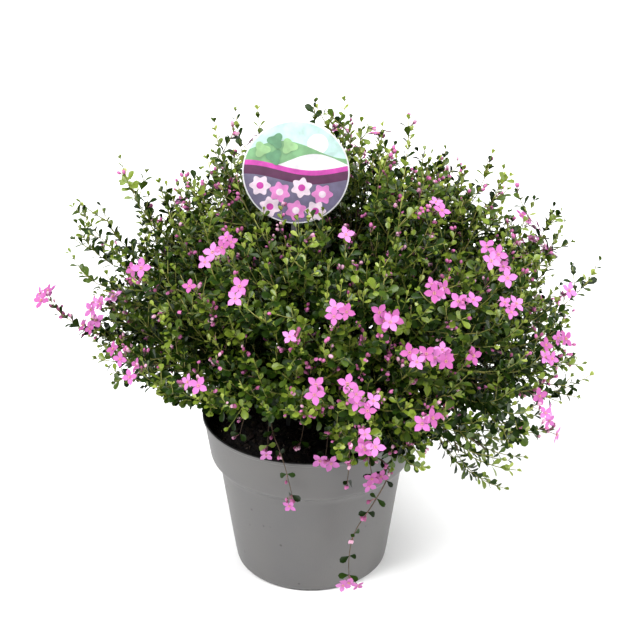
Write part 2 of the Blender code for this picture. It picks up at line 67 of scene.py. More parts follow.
# Pot, as in the solids' source
POT_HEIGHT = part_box("pot")[1].z
RIM_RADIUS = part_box("pot")[1].x
COLLAR_HEIGHT = 0.038
COLLAR_FOOT_RADIUS = 0.0885
SHOULDER_RADIUS = 0.0812
SHOULDER_DROP = 0.003
BASE_RADIUS = 0.067
WALL = 0.002
DRAIN_HOLES = 8
DRAIN_HOLE_RADIUS = 0.004
DRAIN_CIRCLE_RADIUS = 0.045
POT_STEPS = 160

# Soil
SOIL_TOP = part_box("soil")[1].z
SOIL_FALL = 0.003
SOIL_RINGS = 40
SOIL_SPOKES = 150
CRUMBS = 900

# Stem and boughs, as in the source
GAP = 0.0003
# How far a shoot's tip may reach into the next mass
OVERLAP = 0.007
HEAD_RADIUS = 0.0095
STEM_RADIUS = 0.0062
FLARE_RADIUS = 0.0095
STEM_LOW, STEM_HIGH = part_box("stem")
STEM_BASE = Vector(((STEM_LOW.x + STEM_HIGH.x) / 2, (STEM_LOW.y + STEM_HIGH.y) / 2, STEM_LOW.z))
FORK = Vector((STEM_BASE.x, STEM_BASE.y, STEM_HIGH.z - HEAD_RADIUS))
STEM_HEIGHT = FORK.z - STEM_BASE.z - 0.6 * HEAD_RADIUS
BOUGH_BASE_RADIUS = 0.0019
BOUGH_TIP_RADIUS = 0.0014
BOUGH_POINTS = 14
RIM_CROSSING = 0.009
LOW_BOUGH_HEIGHT = 0.65

# Masses of foliage, as in the source: the direction of each, in degrees, and its reach. Here each
# also has a number of leafy shoots, the degrees round its middle that they spread over, and the
# share of its reach that they fill. Only the long shoots reach further.
MASS_START = 0.34
STEM_END = 0.78
Mass = namedtuple("Mass", "name azimuth elevation reach shoots spread fill")
MASSES = (
    Mass("side_right_back", 22, 18, 0.246, 130, 30, 0.94),
    Mass("side_back_right", 67, 21, 0.234, 150, 30, 0.94),
    Mass("side_back_left", 112, 21, 0.230, 150, 30, 0.94),
    Mass("side_left_back", 157, 19, 0.218, 120, 30, 0.95),
    Mass("side_left_front", 202, 19, 0.212, 72, 30, 0.95),
    Mass("side_front_left", 247, 29, 0.214, 160, 30, 0.90),
    Mass("side_front_right", 292, 27, 0.222, 170, 30, 0.93),
    Mass("side_right_front", 337, 18, 0.244, 140, 31, 0.95),
    Mass("upper_right", 40, 52, 0.246, 150, 30, 0.93),
    Mass("upper_back", 112, 52, 0.240, 150, 30, 0.93),
    Mass("upper_left", 184, 51, 0.230, 140, 30, 0.95),
    Mass("upper_front_left", 254, 56, 0.222, 150, 30, 0.93),
    Mass("upper_front_right", 322, 51, 0.242, 150, 30, 0.96),
    Mass("top_right", 22, 77, 0.250, 120, 26, 0.95),
    Mass("top_back", 135, 78, 0.252, 90, 26, 0.88),
    Mass("top_front", 262, 76, 0.172, 60, 26, 0.93),
    Mass("spray_lower_right", 334, -9, 0.204, 9, 11, 0.95),
    Mass("spray_hanging_front", 290, -34, 0.178, 0, 4, 1.0),
)
# Tips of the long shoots that stand out of the crown, and how many open flowers each has
SHOOT_TIPS = (
    ((-0.222, -0.010, 0.260), 4),
    ((0.196, -0.050, 0.168), 2),
    ((0.205, -0.040, 0.200), 0),
    ((0.180, -0.060, 0.132), 0),
    ((-0.205, -0.040, 0.208), 2),
    ((-0.160, -0.050, 0.192), 0),
    ((-0.200, -0.010, 0.300), 0),
    ((-0.196, 0.010, 0.318), 0),
    ((-0.190, -0.002, 0.342), 0),
    ((-0.176, 0.020, 0.330), 0),
    ((-0.168, -0.020, 0.316), 0),
    ((-0.156, 0.004, 0.378), 0),
    ((-0.148, 0.010, 0.352), 0),
    ((-0.140, -0.020, 0.335), 0),
    ((-0.126, 0.016, 0.352), 0),
    ((-0.116, -0.020, 0.342), 0),
    ((-0.106, 0.020, 0.358), 0),
    ((-0.092, 0.000, 0.360), 0),
    ((-0.079, 0.020, 0.404), 0),
    ((-0.062, 0.036, 0.408), 0),
    ((-0.044, 0.040, 0.408), 0),
    ((0.004, 0.040, 0.414), 0),
    ((0.017, 0.030, 0.408), 0),
    ((0.028, 0.015, 0.424), 0),
    ((0.042, 0.020, 0.404), 0),
    ((0.060, 0.020, 0.400), 0),
    ((0.083, 0.010, 0.400), 0),
    ((0.100, 0.020, 0.376), 0),
    ((0.152, 0.030, 0.372), 0),
    ((0.160, 0.010, 0.366), 0),
    ((0.184, -0.010, 0.346), 0),
    ((0.205, 0.020, 0.328), 0),
    ((0.216, 0.030, 0.310), 0),
    ((0.240, -0.020, 0.296), 0),
    ((0.236, -0.034, 0.196), 0),
    ((0.206, -0.030, 0.140), 1),
    ((0.155, -0.060, 0.108), 0),
    ((-0.024, -0.026, 0.344), 0),
    ((-0.012, -0.030, 0.338), 0),
    ((-0.002, -0.028, 0.342), 0),
    ((0.010, -0.026, 0.344), 0),
    ((0.022, -0.020, 0.350), 0),
)

# Sprigs that trail over the soil and the rim: the points each passes, how many open flowers it
# ends in, and whether its leaves are dark
SPRIGS = (
    (((0.034, -0.094, 0.158), (0.070, -0.094, 0.146), (0.054, -0.098, 0.112), (0.030, -0.100, 0.074),
      (0.032, -0.102, 0.041)), 3, True),
    (((-0.030, -0.040, 0.182), (-0.035, -0.078, 0.174), (-0.022, -0.103, 0.154), (-0.016, -0.104, 0.122)), 1, True),
    (((-0.026, -0.036, 0.184), (-0.036, -0.064, 0.176), (-0.036, -0.080, 0.155)), 1, False),
    (((-0.040, -0.030, 0.182), (-0.056, -0.050, 0.172), (-0.060, -0.058, 0.154)), 0, True),
    (((-0.006, -0.036, 0.184), (-0.004, -0.066, 0.172), (-0.010, -0.084, 0.155)), 0, True),
    (((0.010, -0.036, 0.186), (0.016, -0.074, 0.172), (0.012, -0.098, 0.156)), 2, True),
    (((0.034, -0.050, 0.186), (0.046, -0.090, 0.166), (0.050, -0.104, 0.142)), 3, True),
    (((0.026, -0.050, 0.186), (0.034, -0.092, 0.166), (0.030, -0.105, 0.136)), 0, True),
)
SPRIG_PITCH = 0.0155
SPRIG_LEAF = 1.05

# Open flowers that show from the front: the direction of each cluster from the fork, in degrees,
# and how many flowers it has
CLUSTERS = (
    (186, 25, 3), (189, 21, 3), (197, 30, 2), (210, 42, 2), (213, 24, 2), (221, 23, 2), (237, 25, 2), (230, 44, 1),
    (229, 51, 2), (232, 56, 3), (244, 45, 2), (262, 38, 1), (275, 43, 3), (281, 61, 1), (288, 41, 4),
    (314, 58, 2), (300, 43, 4), (294, 32, 3), (300, 31, 4), (306, 39, 2), (321, 45, 3), (323, 41, 2),
    (318, 35, 3), (309, 29, 1), (323, 24, 3), (331, 24, 2), (317, 16, 2), (341, 30, 1), (293, 19, 2),
    (269, 27, 2), (276, 27, 2), (279, 24, 3), (280, 16, 4), (274, 14, 3), (209, 85, 1),
)
FRONT = (180, 350)

# Growth: limbs fork off a mass's stem, leafy shoots off the limbs, and short side shoots off those
LIMBS = 11
SPRAY_LIMBS = 2
LIMB_REACH = 0.66
INNERMOST = 0.46
# Short of the crown's surface each mass also has shoots whose dark leaves are painted shade inside the crown, over
# these shares of its reach
INNER_SHOOTS = 46
INNER_SHARES = (0.42, 0.80)
SHOOT_LENGTH = (0.050, 0.095)
LONG_SHOOT_LENGTH = (0.095, 0.125)
SIDE_SHOOT_LENGTH = (0.012, 0.026)
SIDE_SHOOTS = 0.38
LIMB_RADII = (0.0009, 0.0005)
SHOOT_RADII = (0.00058, 0.00034)
STALK_RADII = (0.00032, 0.00028)
LEAF_LENGTH = 0.0094
LEAF_PITCH = 0.0077
LEAFLESS_SHARE = 0.14
PETAL_LENGTH = 0.0084
BUD_LENGTH = 0.0040
STALK_LENGTH = (0.0040, 0.0065)
FLOWER_STALK_LENGTH = (0.0070, 0.0120)
FLOWERING_SHARE = 0.075
# How far the front's flowers turn to the side that the light comes from
FRONT_TURN = Vector((0, -0.5, 0.15))
BUDDING_SHARE = 0.17
MIXED_SHARE = 0.4
# The slope of the crown's underside at some azimuths, in degrees
FLOOR_AZIMUTHS = (0, 190, 205, 235, 266, 276, 300, 312, 360)
FLOOR_SLOPES = (0.12, 0.20, 0.32, 0.36, 0.46, 0.24, 0.13, 0.23, 0.12)
# How much a shoot turns up as it grows, beside how much it grows outwards: on a level arm, what
# an upright one has more, and on the sprays that hang
LIFT = 0.35
UPRIGHT_LIFT = 1.8
LONG_SHOOT_LIFT = 3.2
SPRAY_LIFT = 0.35
HANGING_LIFT = -0.75
HANGING_BELOW = -20

# Label, as in the source
LABEL_CENTRE = Vector((-0.012, 0.010, 0.364))
LABEL_RADIUS = 0.0445
LABEL_THICKNESS = 0.0008
LABEL_LEAN = math.radians(4)
LABEL_TURN = math.radians(2)
STAKE_WIDTH = 0.005
STAKE_POINT = 0.012
LABEL_STEPS = 120
# Foliage may hide the label only below this share of its radius under its centre
LABEL_FOOT = -0.74

# Linear base colours, and for the leaves how strong the gloss is. The darker leaf kinds on shoots deep in the crown
# are painted shade; the lighter ones at its outer tips are partly painted highlight.
LEAF_KINDS = {
    "deep": ((0.006, 0.017, 0.0014), 0.10),
    "mature": ((0.015, 0.038, 0.0028), 0.18),
    "olive": ((0.050, 0.090, 0.007), 0.30),
    "fresh": ((0.155, 0.220, 0.020), 0.42),
    "young": ((0.30, 0.37, 0.06), 0.42),
}
PETAL_KINDS = {"orchid": (0.50, 0.14, 0.41), "pale": (0.58, 0.20, 0.50), "rose": (0.42, 0.095, 0.31)}
BUD_KINDS = {"rose": (0.50, 0.13, 0.33), "dark": (0.27, 0.055, 0.15), "pale": (0.62, 0.33, 0.46)}


def direction(azimuth, elevation):
    """The unit vector at these angles, in radians."""
    flat = math.cos(elevation)
    return Vector((flat * math.cos(azimuth), flat * math.sin(azimuth), math.sin(elevation)))


AXES = {m.name: direction(math.radians(m.azimuth), math.radians(m.elevation)) for m in MASSES}
WALLS = {
    name: np.array([(own - other).normalized() for o, other in AXES.items() if o != name])
    for name, own in AXES.items()
}


def new_material(name, colour, roughness, specular=0.5):
    material = bpy.data.materials.new(name)
    material.use_nodes = True
    shader = material.node_tree.nodes["Principled BSDF"]
    shader.inputs["Base Color"].default_value = (*colour, 1)
    shader.inputs["Roughness"].default_value = roughness
    shader.inputs["Specular IOR Level"].default_value = specular
    return material


def add_node(material, kind, **values):
    """A shader node with some of its inputs set. A name with a leading _ sets a property."""
    node = material.node_tree.nodes.new(kind)
    for name, value in values.items():
        if name.startswith("_"):
            setattr(node, name[1:], value)
        else:
            node.inputs[name.replace("_", " ")].default_value = value
    return node


def link(material, source, output, target, socket):
    material.node_tree.links.new(source.outputs[output], target.inputs[socket])


def mottle(material, colours, scale, detail=4.0, low=0.35, high=0.65):
    """Mixes two colours by noise in the object's own space, into the base colour."""
    nodes = material.node_tree.nodes
    place = add_node(material, "ShaderNodeTexCoord")
    cloud = add_node(material, "ShaderNodeTexNoise", Scale=scale, Detail=detail)
    ramp = add_node(material, "ShaderNodeValToRGB")
    ramp.color_ramp.elements[0].position = low
    ramp.color_ramp.elements[1].position = high
    ramp.color_ramp.elements[0].color = (*colours[0], 1)
    ramp.color_ramp.elements[1].color = (*colours[1], 1)
    link(material, place, "Object", cloud, "Vector")
    link(material, cloud, "Fac", ramp, "Fac")
    link(material, ramp, "Color", nodes["Principled BSDF"], "Base Color")
    return ramp


def roughen(material, scale, distance, detail=6.0, strength=1.0):
    """Bump from noise in the object's own space."""
    place = add_node(material, "ShaderNodeTexCoord")
    grain = add_node(material, "ShaderNodeTexNoise", Scale=scale, Detail=detail)
    bump = add_node(material, "ShaderNodeBump", Strength=strength, Distance=distance)
    link(material, place, "Object", grain, "Vector")
    link(material, grain, "Fac", bump, "Height")
    link(material, bump, "Normal", material.node_tree.nodes["Principled BSDF"], "Normal")
    return bump


def speckle(material, ramp, colour, scale, size):
    """Small dark specks over the base colour, at the cells of a Voronoi pattern."""
    place = add_node(material, "ShaderNodeTexCoord")
    cells = add_node(material, "ShaderNodeTexVoronoi", Scale=scale)
    edge = add_node(material, "ShaderNodeMapRange", From_Min=size, From_Max=size * 1.8)
    mix = add_node(material, "ShaderNodeMix", _data_type="RGBA")
    mix.inputs[6].default_value = (*colour, 1)
    link(material, place, "Object", cells, "Vector")
    link(material, cells, "Distance", edge, "Value")
    material.node_tree.links.new(edge.outputs["Result"], mix.inputs[0])
    material.node_tree.links.new(ramp.outputs["Color"], mix.inputs[7])
    shader = material.node_tree.nodes["Principled BSDF"]
    material.node_tree.links.new(mix.outputs[2], shader.inputs["Base Color"])


def finish_piece(obj, slot, *replaced):
    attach(obj, "root")
    if replaced:
        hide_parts(*replaced)
    return obj


def object_from(name, mesh, *materials):
    obj = bpy.data.objects.new(name, mesh)
    bpy.context.scene.collection.objects.link(obj)
    for material in materials:
        mesh.materials.append(material)
    return obj


class Bag:
    """Collects vertices and triangles of many small things, to make one mesh of them."""

    def __init__(self):
        self.points = []
        self.faces = []
        self.count = 0

    def add(self, points, faces):
        self.points.append(np.asarray(points, float))
        self.faces.append(np.asarray(faces, int) + self.count)
        self.count += len(points)

    def scatter(self, shape, places, turns, sizes):
        """Copies of a shape at places, turned by 3x3 matrices and scaled."""
        points, faces = shape
        if not len(places):
            return
        moved = np.einsum("nij,kj->nki", np.asarray(turns), points) * np.asarray(sizes)[:, None, None]
        moved += np.asarray(places)[:, None, :]
        step = np.arange(len(places))[:, None, None] * len(points)
        self.add(moved.reshape(-1, 3), (np.asarray(faces)[None] + step).reshape(-1, 3))

    def build(self, name, material, smooth=True):
        points = np.concatenate(self.points).astype(np.float32)
        faces = np.concatenate(self.faces).astype(np.int32)
        mesh = bpy.data.meshes.new(name)
        mesh.vertices.add(len(points))
        mesh.vertices.foreach_set("co", points.ravel())
        mesh.loops.add(faces.size)
        mesh.loops.foreach_set("vertex_index", faces.ravel())
        mesh.polygons.add(len(faces))
        mesh.polygons.foreach_set("loop_start", np.arange(0, faces.size, 3, dtype=np.int32))
        mesh.polygons.foreach_set("use_smooth", np.full(len(faces), smooth))
        mesh.update(calc_edges=True)
        mesh.validate()
        return object_from(name, mesh, material)


def tube(bag, route, radii, sides, wobble=0.0, seed=0.0):
    """A closed tapering tube along a route. wobble gives its wall a relief, as a share of its radius."""
    points = [Vector(p) for p in route]
    along = (points[1] - points[0]).normalized()
    across = along.orthogonal().normalized()
    rings = []
    for i, point in enumerate(points):
        step = points[min(i + 1, len(points) - 1)] - points[max(i - 1, 0)]
        if step.length > 1e-9:
            along = step.normalized()
        across = (across - along * across.dot(along)).normalized()
        other = along.cross(across)
        share = i / (len(points) - 1)
        radius = radii[0] + (radii[1] - radii[0]) * share
        for k in range(sides):
            turn = 2 * math.pi * k / sides
            out = across * math.cos(turn) + other * math.sin(turn)
            size = radius
            if wobble:
                ridge = noise.noise(Vector((turn * 1.6 + seed, share * 1.5, seed)))
                fine = noise.noise((point + out * radius) * 900)
                size *= 1 + wobble * (ridge + 0.6 * fine)
            rings.append(point + out * size)
    faces = []
    for i in range(len(points) - 1):
        for k in range(sides):
            a = i * sides + k
            b = i * sides + (k + 1) % sides
            faces += [(a, b, b + sides), (a, b + sides, a + sides)]
    last = (len(points) - 1) * sides
    for k in range(1, sides - 1):
        faces += [(0, k + 1, k), (last, last + k, last + k + 1)]
    bag.add([tuple(p) for p in rings], faces)


def bezier(start, pull, end, count):
    """Points along the curve from start to end that is drawn towards pull."""
    shares = [i / (count - 1) for i in range(count)]
    return [start.lerp(pull, t).lerp(pull.lerp(end, t), t) for t in shares]


def point_along(route, share):
    place = share * (len(route) - 1)
    index = min(int(place), len(route) - 2)
    return route[index].lerp(route[index + 1], place - index)


def rounded(corners, steps=5):
    """An outline from (radius, height, rounding) corners, with each corner turned into an arc."""
    outline = []
    for i, (r, z, bend) in enumerate(corners):
        here = Vector((r, z))
        if not bend or i in (0, len(corners) - 1):
            outline.append(here)
            continue
        before = Vector(corners[i - 1][:2]) - here
        after = Vector(corners[i + 1][:2]) - here
        start = here + before.normalized() * min(bend, before.length * 0.48)
        end = here + after.normalized() * min(bend, after.length * 0.48)
        outline += [p.to_2d() for p in bezier(start.to_3d(), here.to_3d(), end.to_3d(), steps)]
    return outline


def turned_mesh(name, outline, steps):
    """A solid of revolution about Z. The outline runs from the axis, round, and back to the axis."""
    mesh = bpy.data.meshes.new(name)
    work = bmesh.new()
    rings = []
    for point in outline:
        if point.x < 1e-6:
            rings.append([work.verts.new((0, 0, point.y))] * steps)
            continue
        ring = []
        for k in range(steps):
            turn = 2 * math.pi * k / steps
            ring.append(work.verts.new((point.x * math.cos(turn), point.x * math.sin(turn), point.y)))
        rings.append(ring)
    for low, high in zip(rings, rings[1:]):
        for k in range(steps):
            corners = []
            for vertex in (low[k], low[(k + 1) % steps], high[(k + 1) % steps], high[k]):
                if vertex not in corners:
                    corners.append(vertex)
            work.faces.new(corners)
    bmesh.ops.recalc_face_normals(work, faces=work.faces)
    work.to_mesh(mesh)
    work.free()
    mesh.polygons.foreach_set("use_smooth", [True] * len(mesh.polygons))
    mesh.set_sharp_from_angle(angle=math.radians(38))
    return mesh


def make_camera():
    """The photograph's viewpoint: the rim's centre falls on the pixel that it has there."""
    away = Vector((0, -math.cos(CAMERA_ELEVATION), math.sin(CAMERA_ELEVATION)))
    place = Vector((0, 0, POT_HEIGHT)) + away * CAMERA_DISTANCE
    rise = math.atan((PHOTO_RIM_CENTRE[1] - PHOTO_SIZE / 2) / PHOTO_FOCAL)
    turn = math.atan((PHOTO_SIZE / 2 - PHOTO_RIM_CENTRE[0]) / PHOTO_FOCAL)
    data = bpy.data.cameras.new("camera")
    data.sensor_width = SENSOR
    data.lens = PHOTO_FOCAL / PHOTO_SIZE * SENSOR
    camera = bpy.data.objects.new("camera", data)
    bpy.context.scene.collection.objects.link(camera)
    camera.location = place
    camera.rotation_euler = (math.radians(90) - CAMERA_ELEVATION + rise, 0, -turn)
    bpy.context.scene.camera = camera


def add_light(name, away, strength):
    """A large soft lamp a long way off in this direction, so that it lights the floor evenly."""
    data = bpy.data.lights.new(name, "SUN")
    data.angle = math.radians(LAMP_WIDTH)
    data.energy = strength
    light = bpy.data.objects.new(name, data)
    bpy.context.scene.collection.objects.link(light)
    light.location = away
    light.rotation_euler = Vector(away).to_track_quat("Z", "Y").to_euler()


def make_studio():
    """A wide pale floor, an even white surround and two soft lamps."""
    floor_mesh = bpy.data.meshes.new("floor")
    half = FLOOR_SIZE / 2
    corners = [(-half, -half, 0), (half, -half, 0), (half, half, 0), (-half, half, 0)]
    floor_mesh.from_pydata(corners, [], [(0, 1, 2, 3)])
    floor_mesh.transform(Matrix.Translation((0, 0, -0.0004)))
    paper = new_material("floor_paper", (0.93, 0.93, 0.93), 0.9, 0.1)
    mottle(paper, ((0.92, 0.92, 0.92), (0.94, 0.94, 0.94)), 1.5)
    object_from("floor", floor_mesh, paper)
    world = bpy.data.worlds.new("surround")
    world.use_nodes = True
    sky = world.node_tree.nodes["Background"]
    sky.inputs["Color"].default_value = (1, 1, 1, 1)
    sky.inputs["Strength"].default_value = 0.19
    bpy.context.scene.world = world
    add_light("left", (-1.0, -0.6, 1.35), 3.6)
    add_light("right", (1.0, -0.55, 1.35), 3.5)
    add_light("back", (0.1, 1.2, 1.6), 1.3)
    bpy.context.scene.view_settings.view_transform = "Standard"


def make_pot():
    """The turned pot: a tall collar over a curved step, a tapered body and a thin rolled rim."""
    foot = POT_HEIGHT - COLLAR_HEIGHT
    shoulder = foot - SHOULDER_DROP
    lip = RIM_RADIUS - 0.0013
    outer = [
        (0, 0.0006, 0),
        (DRAIN_CIRCLE_RADIUS - 0.012, 0.0006, 0.001),
        (DRAIN_CIRCLE_RADIUS - 0.011, 0, 0.0006),
        (BASE_RADIUS - 0.0005, 0, 0.0045),
        (BASE_RADIUS + 0.0014, 0.010, 0.004),
        (SHOULDER_RADIUS, shoulder - 0.004, 0.006),
        (COLLAR_FOOT_RADIUS - 0.0006, foot - 0.0012, 0.0010),
        (COLLAR_FOOT_RADIUS + 0.0002, foot + 0.0012, 0.0009),
        (lip, POT_HEIGHT - 0.0036, 0.0010),
        (RIM_RADIUS, POT_HEIGHT - 0.0028, 0.0007),
        (RIM_RADIUS, POT_HEIGHT, 0.0009),
        (RIM_RADIUS - WALL, POT_HEIGHT, 0.0008),
    ]
    inner = [
        (lip - WALL, POT_HEIGHT - 0.004, 0.001),
        (COLLAR_FOOT_RADIUS - WALL, foot + 0.001, 0.003),
        (SHOULDER_RADIUS - WALL, shoulder - 0.004, 0.006),
        (BASE_RADIUS - WALL, 0.008, 0.004),
        (BASE_RADIUS - WALL - 0.004, WALL, 0.002),
        (0, WALL, 0),
    ]
    mesh = turned_mesh("pot_body", rounded(outer + inner), POT_STEPS)
    plastic = new_material("pot_grey", (0.112, 0.109, 0.107), 0.42, 0.45)
    ramp = mottle(plastic, ((0.104, 0.102, 0.103), (0.119, 0.115, 0.111)), 14, 5, 0.3, 0.7)
    speckle(plastic, ramp, (0.06, 0.055, 0.055), 60, 0.05)
    roughen(plastic, 900, 0.00012, 3)
    black = new_material("pot_black", (0.012, 0.012, 0.013), 0.5)
    roughen(black, 600, 0.0001, 3)
    pot = object_from("pot_body", mesh, plastic, black)
    for face in mesh.polygons:
        middle = face.center
        level = middle.z > POT_HEIGHT - 0.0004
        inside = middle.z > WALL * 0.9 and face.normal.xy.dot(middle.xy) < -1e-9
        floor = face.normal.z > 0.9 and middle.z < WALL * 1.2 and middle.z > WALL * 0.8
        if level or inside or floor:
            face.material_index = 1
    cutters = []
    for i in range(DRAIN_HOLES):
        cut_mesh = bpy.data.meshes.new("cut")
        work = bmesh.new()
        bmesh.ops.create_cone(
            work, cap_ends=True, segments=24, radius1=DRAIN_HOLE_RADIUS, radius2=DRAIN_HOLE_RADIUS, depth=0.02
        )
        turn = 2 * math.pi * (i + 0.5) / DRAIN_HOLES
        shift = (DRAIN_CIRCLE_RADIUS * math.cos(turn), DRAIN_CIRCLE_RADIUS * math.sin(turn), 0)
        bmesh.ops.translate(work, vec=shift, verts=work.verts)
        work.to_mesh(cut_mesh)
        work.free()
        cutter = object_from(f"cut_{i}", cut_mesh)
        cutters.append(cutter)
        cut = pot.modifiers.new("drain", "BOOLEAN")
        cut.object = cutter
        cut.solver = "EXACT"
    graph = bpy.context.evaluated_depsgraph_get()
    cut_through = bpy.data.meshes.new_from_object(pot.evaluated_get(graph))
    pot.modifiers.clear()
    pot.data = cut_through
    for cutter in cutters:
        bpy.data.objects.remove(cutter)
    finish_piece(pot, "pot_plastic", "pot")


def make_soil():
    """Dark compost: an uneven top with crumbs of bark and peat, over a plug down to the floor."""
    low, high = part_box("soil")
    edge = high.x - 0.0005
    mesh = bpy.data.meshes.new("compost_top")
    work = bmesh.new()
    rings = [[work.verts.new((0, 0, SOIL_TOP))] * SOIL_SPOKES]
    for i in range(1, SOIL_RINGS + 1):
        ring = []
        for k in range(SOIL_SPOKES):
            turn = 2 * math.pi * k / SOIL_SPOKES
            radius = edge * i / SOIL_RINGS
            place = Vector((radius * math.cos(turn), radius * math.sin(turn), 0))
            lump = noise.fractal(place * 120, 0.8, 2.2, 5) * 0.0016
            fall = SOIL_FALL * max(0, i / SOIL_RINGS - 0.4) / 0.6
            ring.append(work.verts.new((place.x, place.y, SOIL_TOP - 0.0012 - fall + lump)))
        rings.append(ring)
    skirt = [work.verts.new((v.co.x, v.co.y, low.z + 0.11)) for v in rings[-1]]
    rings.append(skirt)
    for inner, outer in zip(rings, rings[1:]):
        for k in range(SOIL_SPOKES):
            corners = []
            for vertex in (inner[k], outer[k], outer[(k + 1) % SOIL_SPOKES], inner[(k + 1) % SOIL_SPOKES]):
                if vertex not in corners:
                    corners.append(vertex)
            work.faces.new(corners)
    work.faces.new(reversed(skirt))
    bmesh.ops.recalc_face_normals(work, faces=work.faces)
    work.to_mesh(mesh)
    work.free()
    earth = new_material("compost_dark", (0.014, 0.011, 0.010), 0.95, 0.2)
    mottle(earth, ((0.004, 0.0036, 0.004), (0.021, 0.017, 0.017)), 160, 6)
    roughen(earth, 700, 0.0008)
    finish_piece(object_from("compost", mesh, earth), "compost", "soil")
    rng = np.random.default_rng(SEED)
    shape = lump_shape()
    places, turns, sizes = [], [], []
    for _ in range(CRUMBS):
        radius = edge * 0.97 * math.sqrt(rng.uniform(0, 1))
        turn = rng.uniform(0, 2 * math.pi)
        fall = SOIL_FALL * max(0, radius / edge - 0.4) / 0.6
        places.append((radius * math.cos(turn), radius * math.sin(turn), SOIL_TOP - 0.0010 - fall))
        turns.append(random_turn(rng) @ np.diag([1.0, rng.uniform(0.3, 0.8), rng.uniform(0.2, 0.6)]))
        sizes.append(rng.uniform(0.0010, 0.0036))
    cut = int(CRUMBS * 0.88)
    dark, pale = Bag(), Bag()
    dark.scatter(shape, places[:cut], turns[:cut], sizes[:cut])
    pale.scatter(shape, places[cut:], turns[cut:], np.array(sizes[cut:]) * 0.6)
    chip = new_material("compost_chips", (0.024, 0.016, 0.012), 0.85, 0.3)
    roughen(chip, 900, 0.0004)
    grit = new_material("compost_grit", (0.15, 0.12, 0.09), 0.8, 0.3)
    roughen(grit, 900, 0.0004)
    finish_piece(dark.build("compost_crumbs", chip, smooth=False), "compost")
    finish_piece(pale.build("compost_bits", grit, smooth=False), "compost")


def lump_shape():
    """A rough twenty-faced lump of unit radius."""
    work = bmesh.new()
    bmesh.ops.create_icosphere(work, subdivisions=1, radius=1)
    points = np.array([v.co * (1 + 0.25 * math.sin(7 * v.index)) for v in work.verts])
    faces = [[v.index for v in f.verts] for f in work.faces]
    work.free()
    return points, faces


def random_turn(rng):
    """A random rotation as a 3x3 array."""
    axis = rng.normal(size=3)
    turn = Matrix.Rotation(rng.uniform(0, 2 * math.pi), 3, Vector(axis).normalized())
    return np.array(turn)


def make_limbs():
    """The stem and boughs with the bark's relief, in one mesh."""
    bag = Bag()
    low, high = [], []
    head = FORK.z - STEM_BASE.z
    profile = [(FLARE_RADIUS, 0), (STEM_RADIUS * 1.28, 0.08), (STEM_RADIUS * 1.08, 0.25), (STEM_RADIUS, 0.6)]
    rows = [(r, STEM_HEIGHT * share) for r, share in profile]
    for angle in (-35, -15, 5, 25, 45, 62, 78):
        turn = math.radians(angle)
        rows.append((HEAD_RADIUS * math.cos(turn), head + HEAD_RADIUS * math.sin(turn)))
    fine = []
    for (r0, z0), (r1, z1) in zip(rows, rows[1:]):
        fine += [(r0 + (r1 - r0) * t / 4, z0 + (z1 - z0) * t / 4) for t in range(4)]
    fine.append(rows[-1])
    sides = 40
    points = []
    for radius, height in fine:
        for k in range(sides):
            turn = 2 * math.pi * k / sides
            ridge = noise.noise(Vector((turn * 2.2, height * 60, 3.0)))
            crack = noise.noise(Vector((turn * 7.0, height * 260, 9.0)))
            size = radius * (1 + 0.07 * ridge + 0.035 * crack)
            points.append((STEM_BASE.x + size * math.cos(turn), STEM_BASE.y + size * math.sin(turn), STEM_BASE.z + height))
    faces = []
    for i in range(len(fine) - 1):
        for k in range(sides):
            a = i * sides + k
            b = i * sides + (k + 1) % sides
            faces += [(a, b, b + sides), (a, b + sides, a + sides)]
    last = (len(fine) - 1) * sides
    for k in range(1, sides - 1):
        faces += [(0, k + 1, k), (last, last + k, last + k + 1)]
    bag.add(points, faces)
    for i, mass in enumerate(MASSES):
        route = bough_route(mass)
        tube(bag, route, (BOUGH_BASE_RADIUS, BOUGH_TIP_RADIUS), 12, wobble=0.16, seed=i * 3.1)
    bark = new_material("bark_brown", (0.11, 0.075, 0.05), 0.85, 0.25)
    mottle(bark, ((0.055, 0.036, 0.024), (0.17, 0.125, 0.085)), 260, 6)
    roughen(bark, 1100, 0.0005)
    limbs = bag.build("bark_limbs", bark)
    names = [f"bough_{mass.name}" for mass in MASSES]
    finish_piece(limbs, "bark", "stem", *names)


def bough_route(mass):
    """Points along a mass's bough, from the stem to where its foliage starts, as in the source."""
    axis = AXES[mass.name]
    if mass.elevation > 0:
        start = FORK + axis * (HEAD_RADIUS * 0.8)
        return bezier(start, start, FORK + axis * (MASS_START * mass.reach), BOUGH_POINTS)
    leave = direction(math.radians(mass.azimuth), 0)
    height = STEM_HEIGHT * (LOW_BOUGH_HEIGHT + mass.elevation / 100)
    start = STEM_BASE + Vector((0, 0, height)) + leave * (STEM_RADIUS * 0.7)
    end = FORK + leave * (RIM_RADIUS * 1.05)
    end.z = POT_HEIGHT + RIM_CROSSING
    return bezier(start, start.lerp(end, 0.5), end, BOUGH_POINTS)


def stem_route(mass):
    """Points along a mass's own stem, which goes on from the tip of its bough, as in the source."""
    bough = bough_route(mass)
    onward = (bough[-1] - bough[-2]).normalized()
    bend = bough[-1] + onward * 0.004
    end = FORK + AXES[mass.name] * (STEM_END * mass.reach)
    return [bough[-1]] + bezier(bend, bend + onward * (end - bend).length * 0.4, end, 9)


def label_matrix():
    upright = Matrix.Rotation(math.radians(90), 4, "X")
    lean = Matrix.Rotation(-LABEL_LEAN, 4, "X")
    turn = Matrix.Rotation(LABEL_TURN, 4, "Y")
    return Matrix.Translation(LABEL_CENTRE) @ lean @ turn @ upright


LABEL_INVERSE = label_matrix().inverted()
SIGHT = LABEL_INVERSE.to_3x3() @ direction(math.radians(-90), CAMERA_ELEVATION)


def pot_radius(height):
    foot = POT_HEIGHT - COLLAR_HEIGHT
    if height >= foot:
        return RIM_RADIUS
    return BASE_RADIUS + (COLLAR_FOOT_RADIUS - BASE_RADIUS) * max(height, 0) / foot


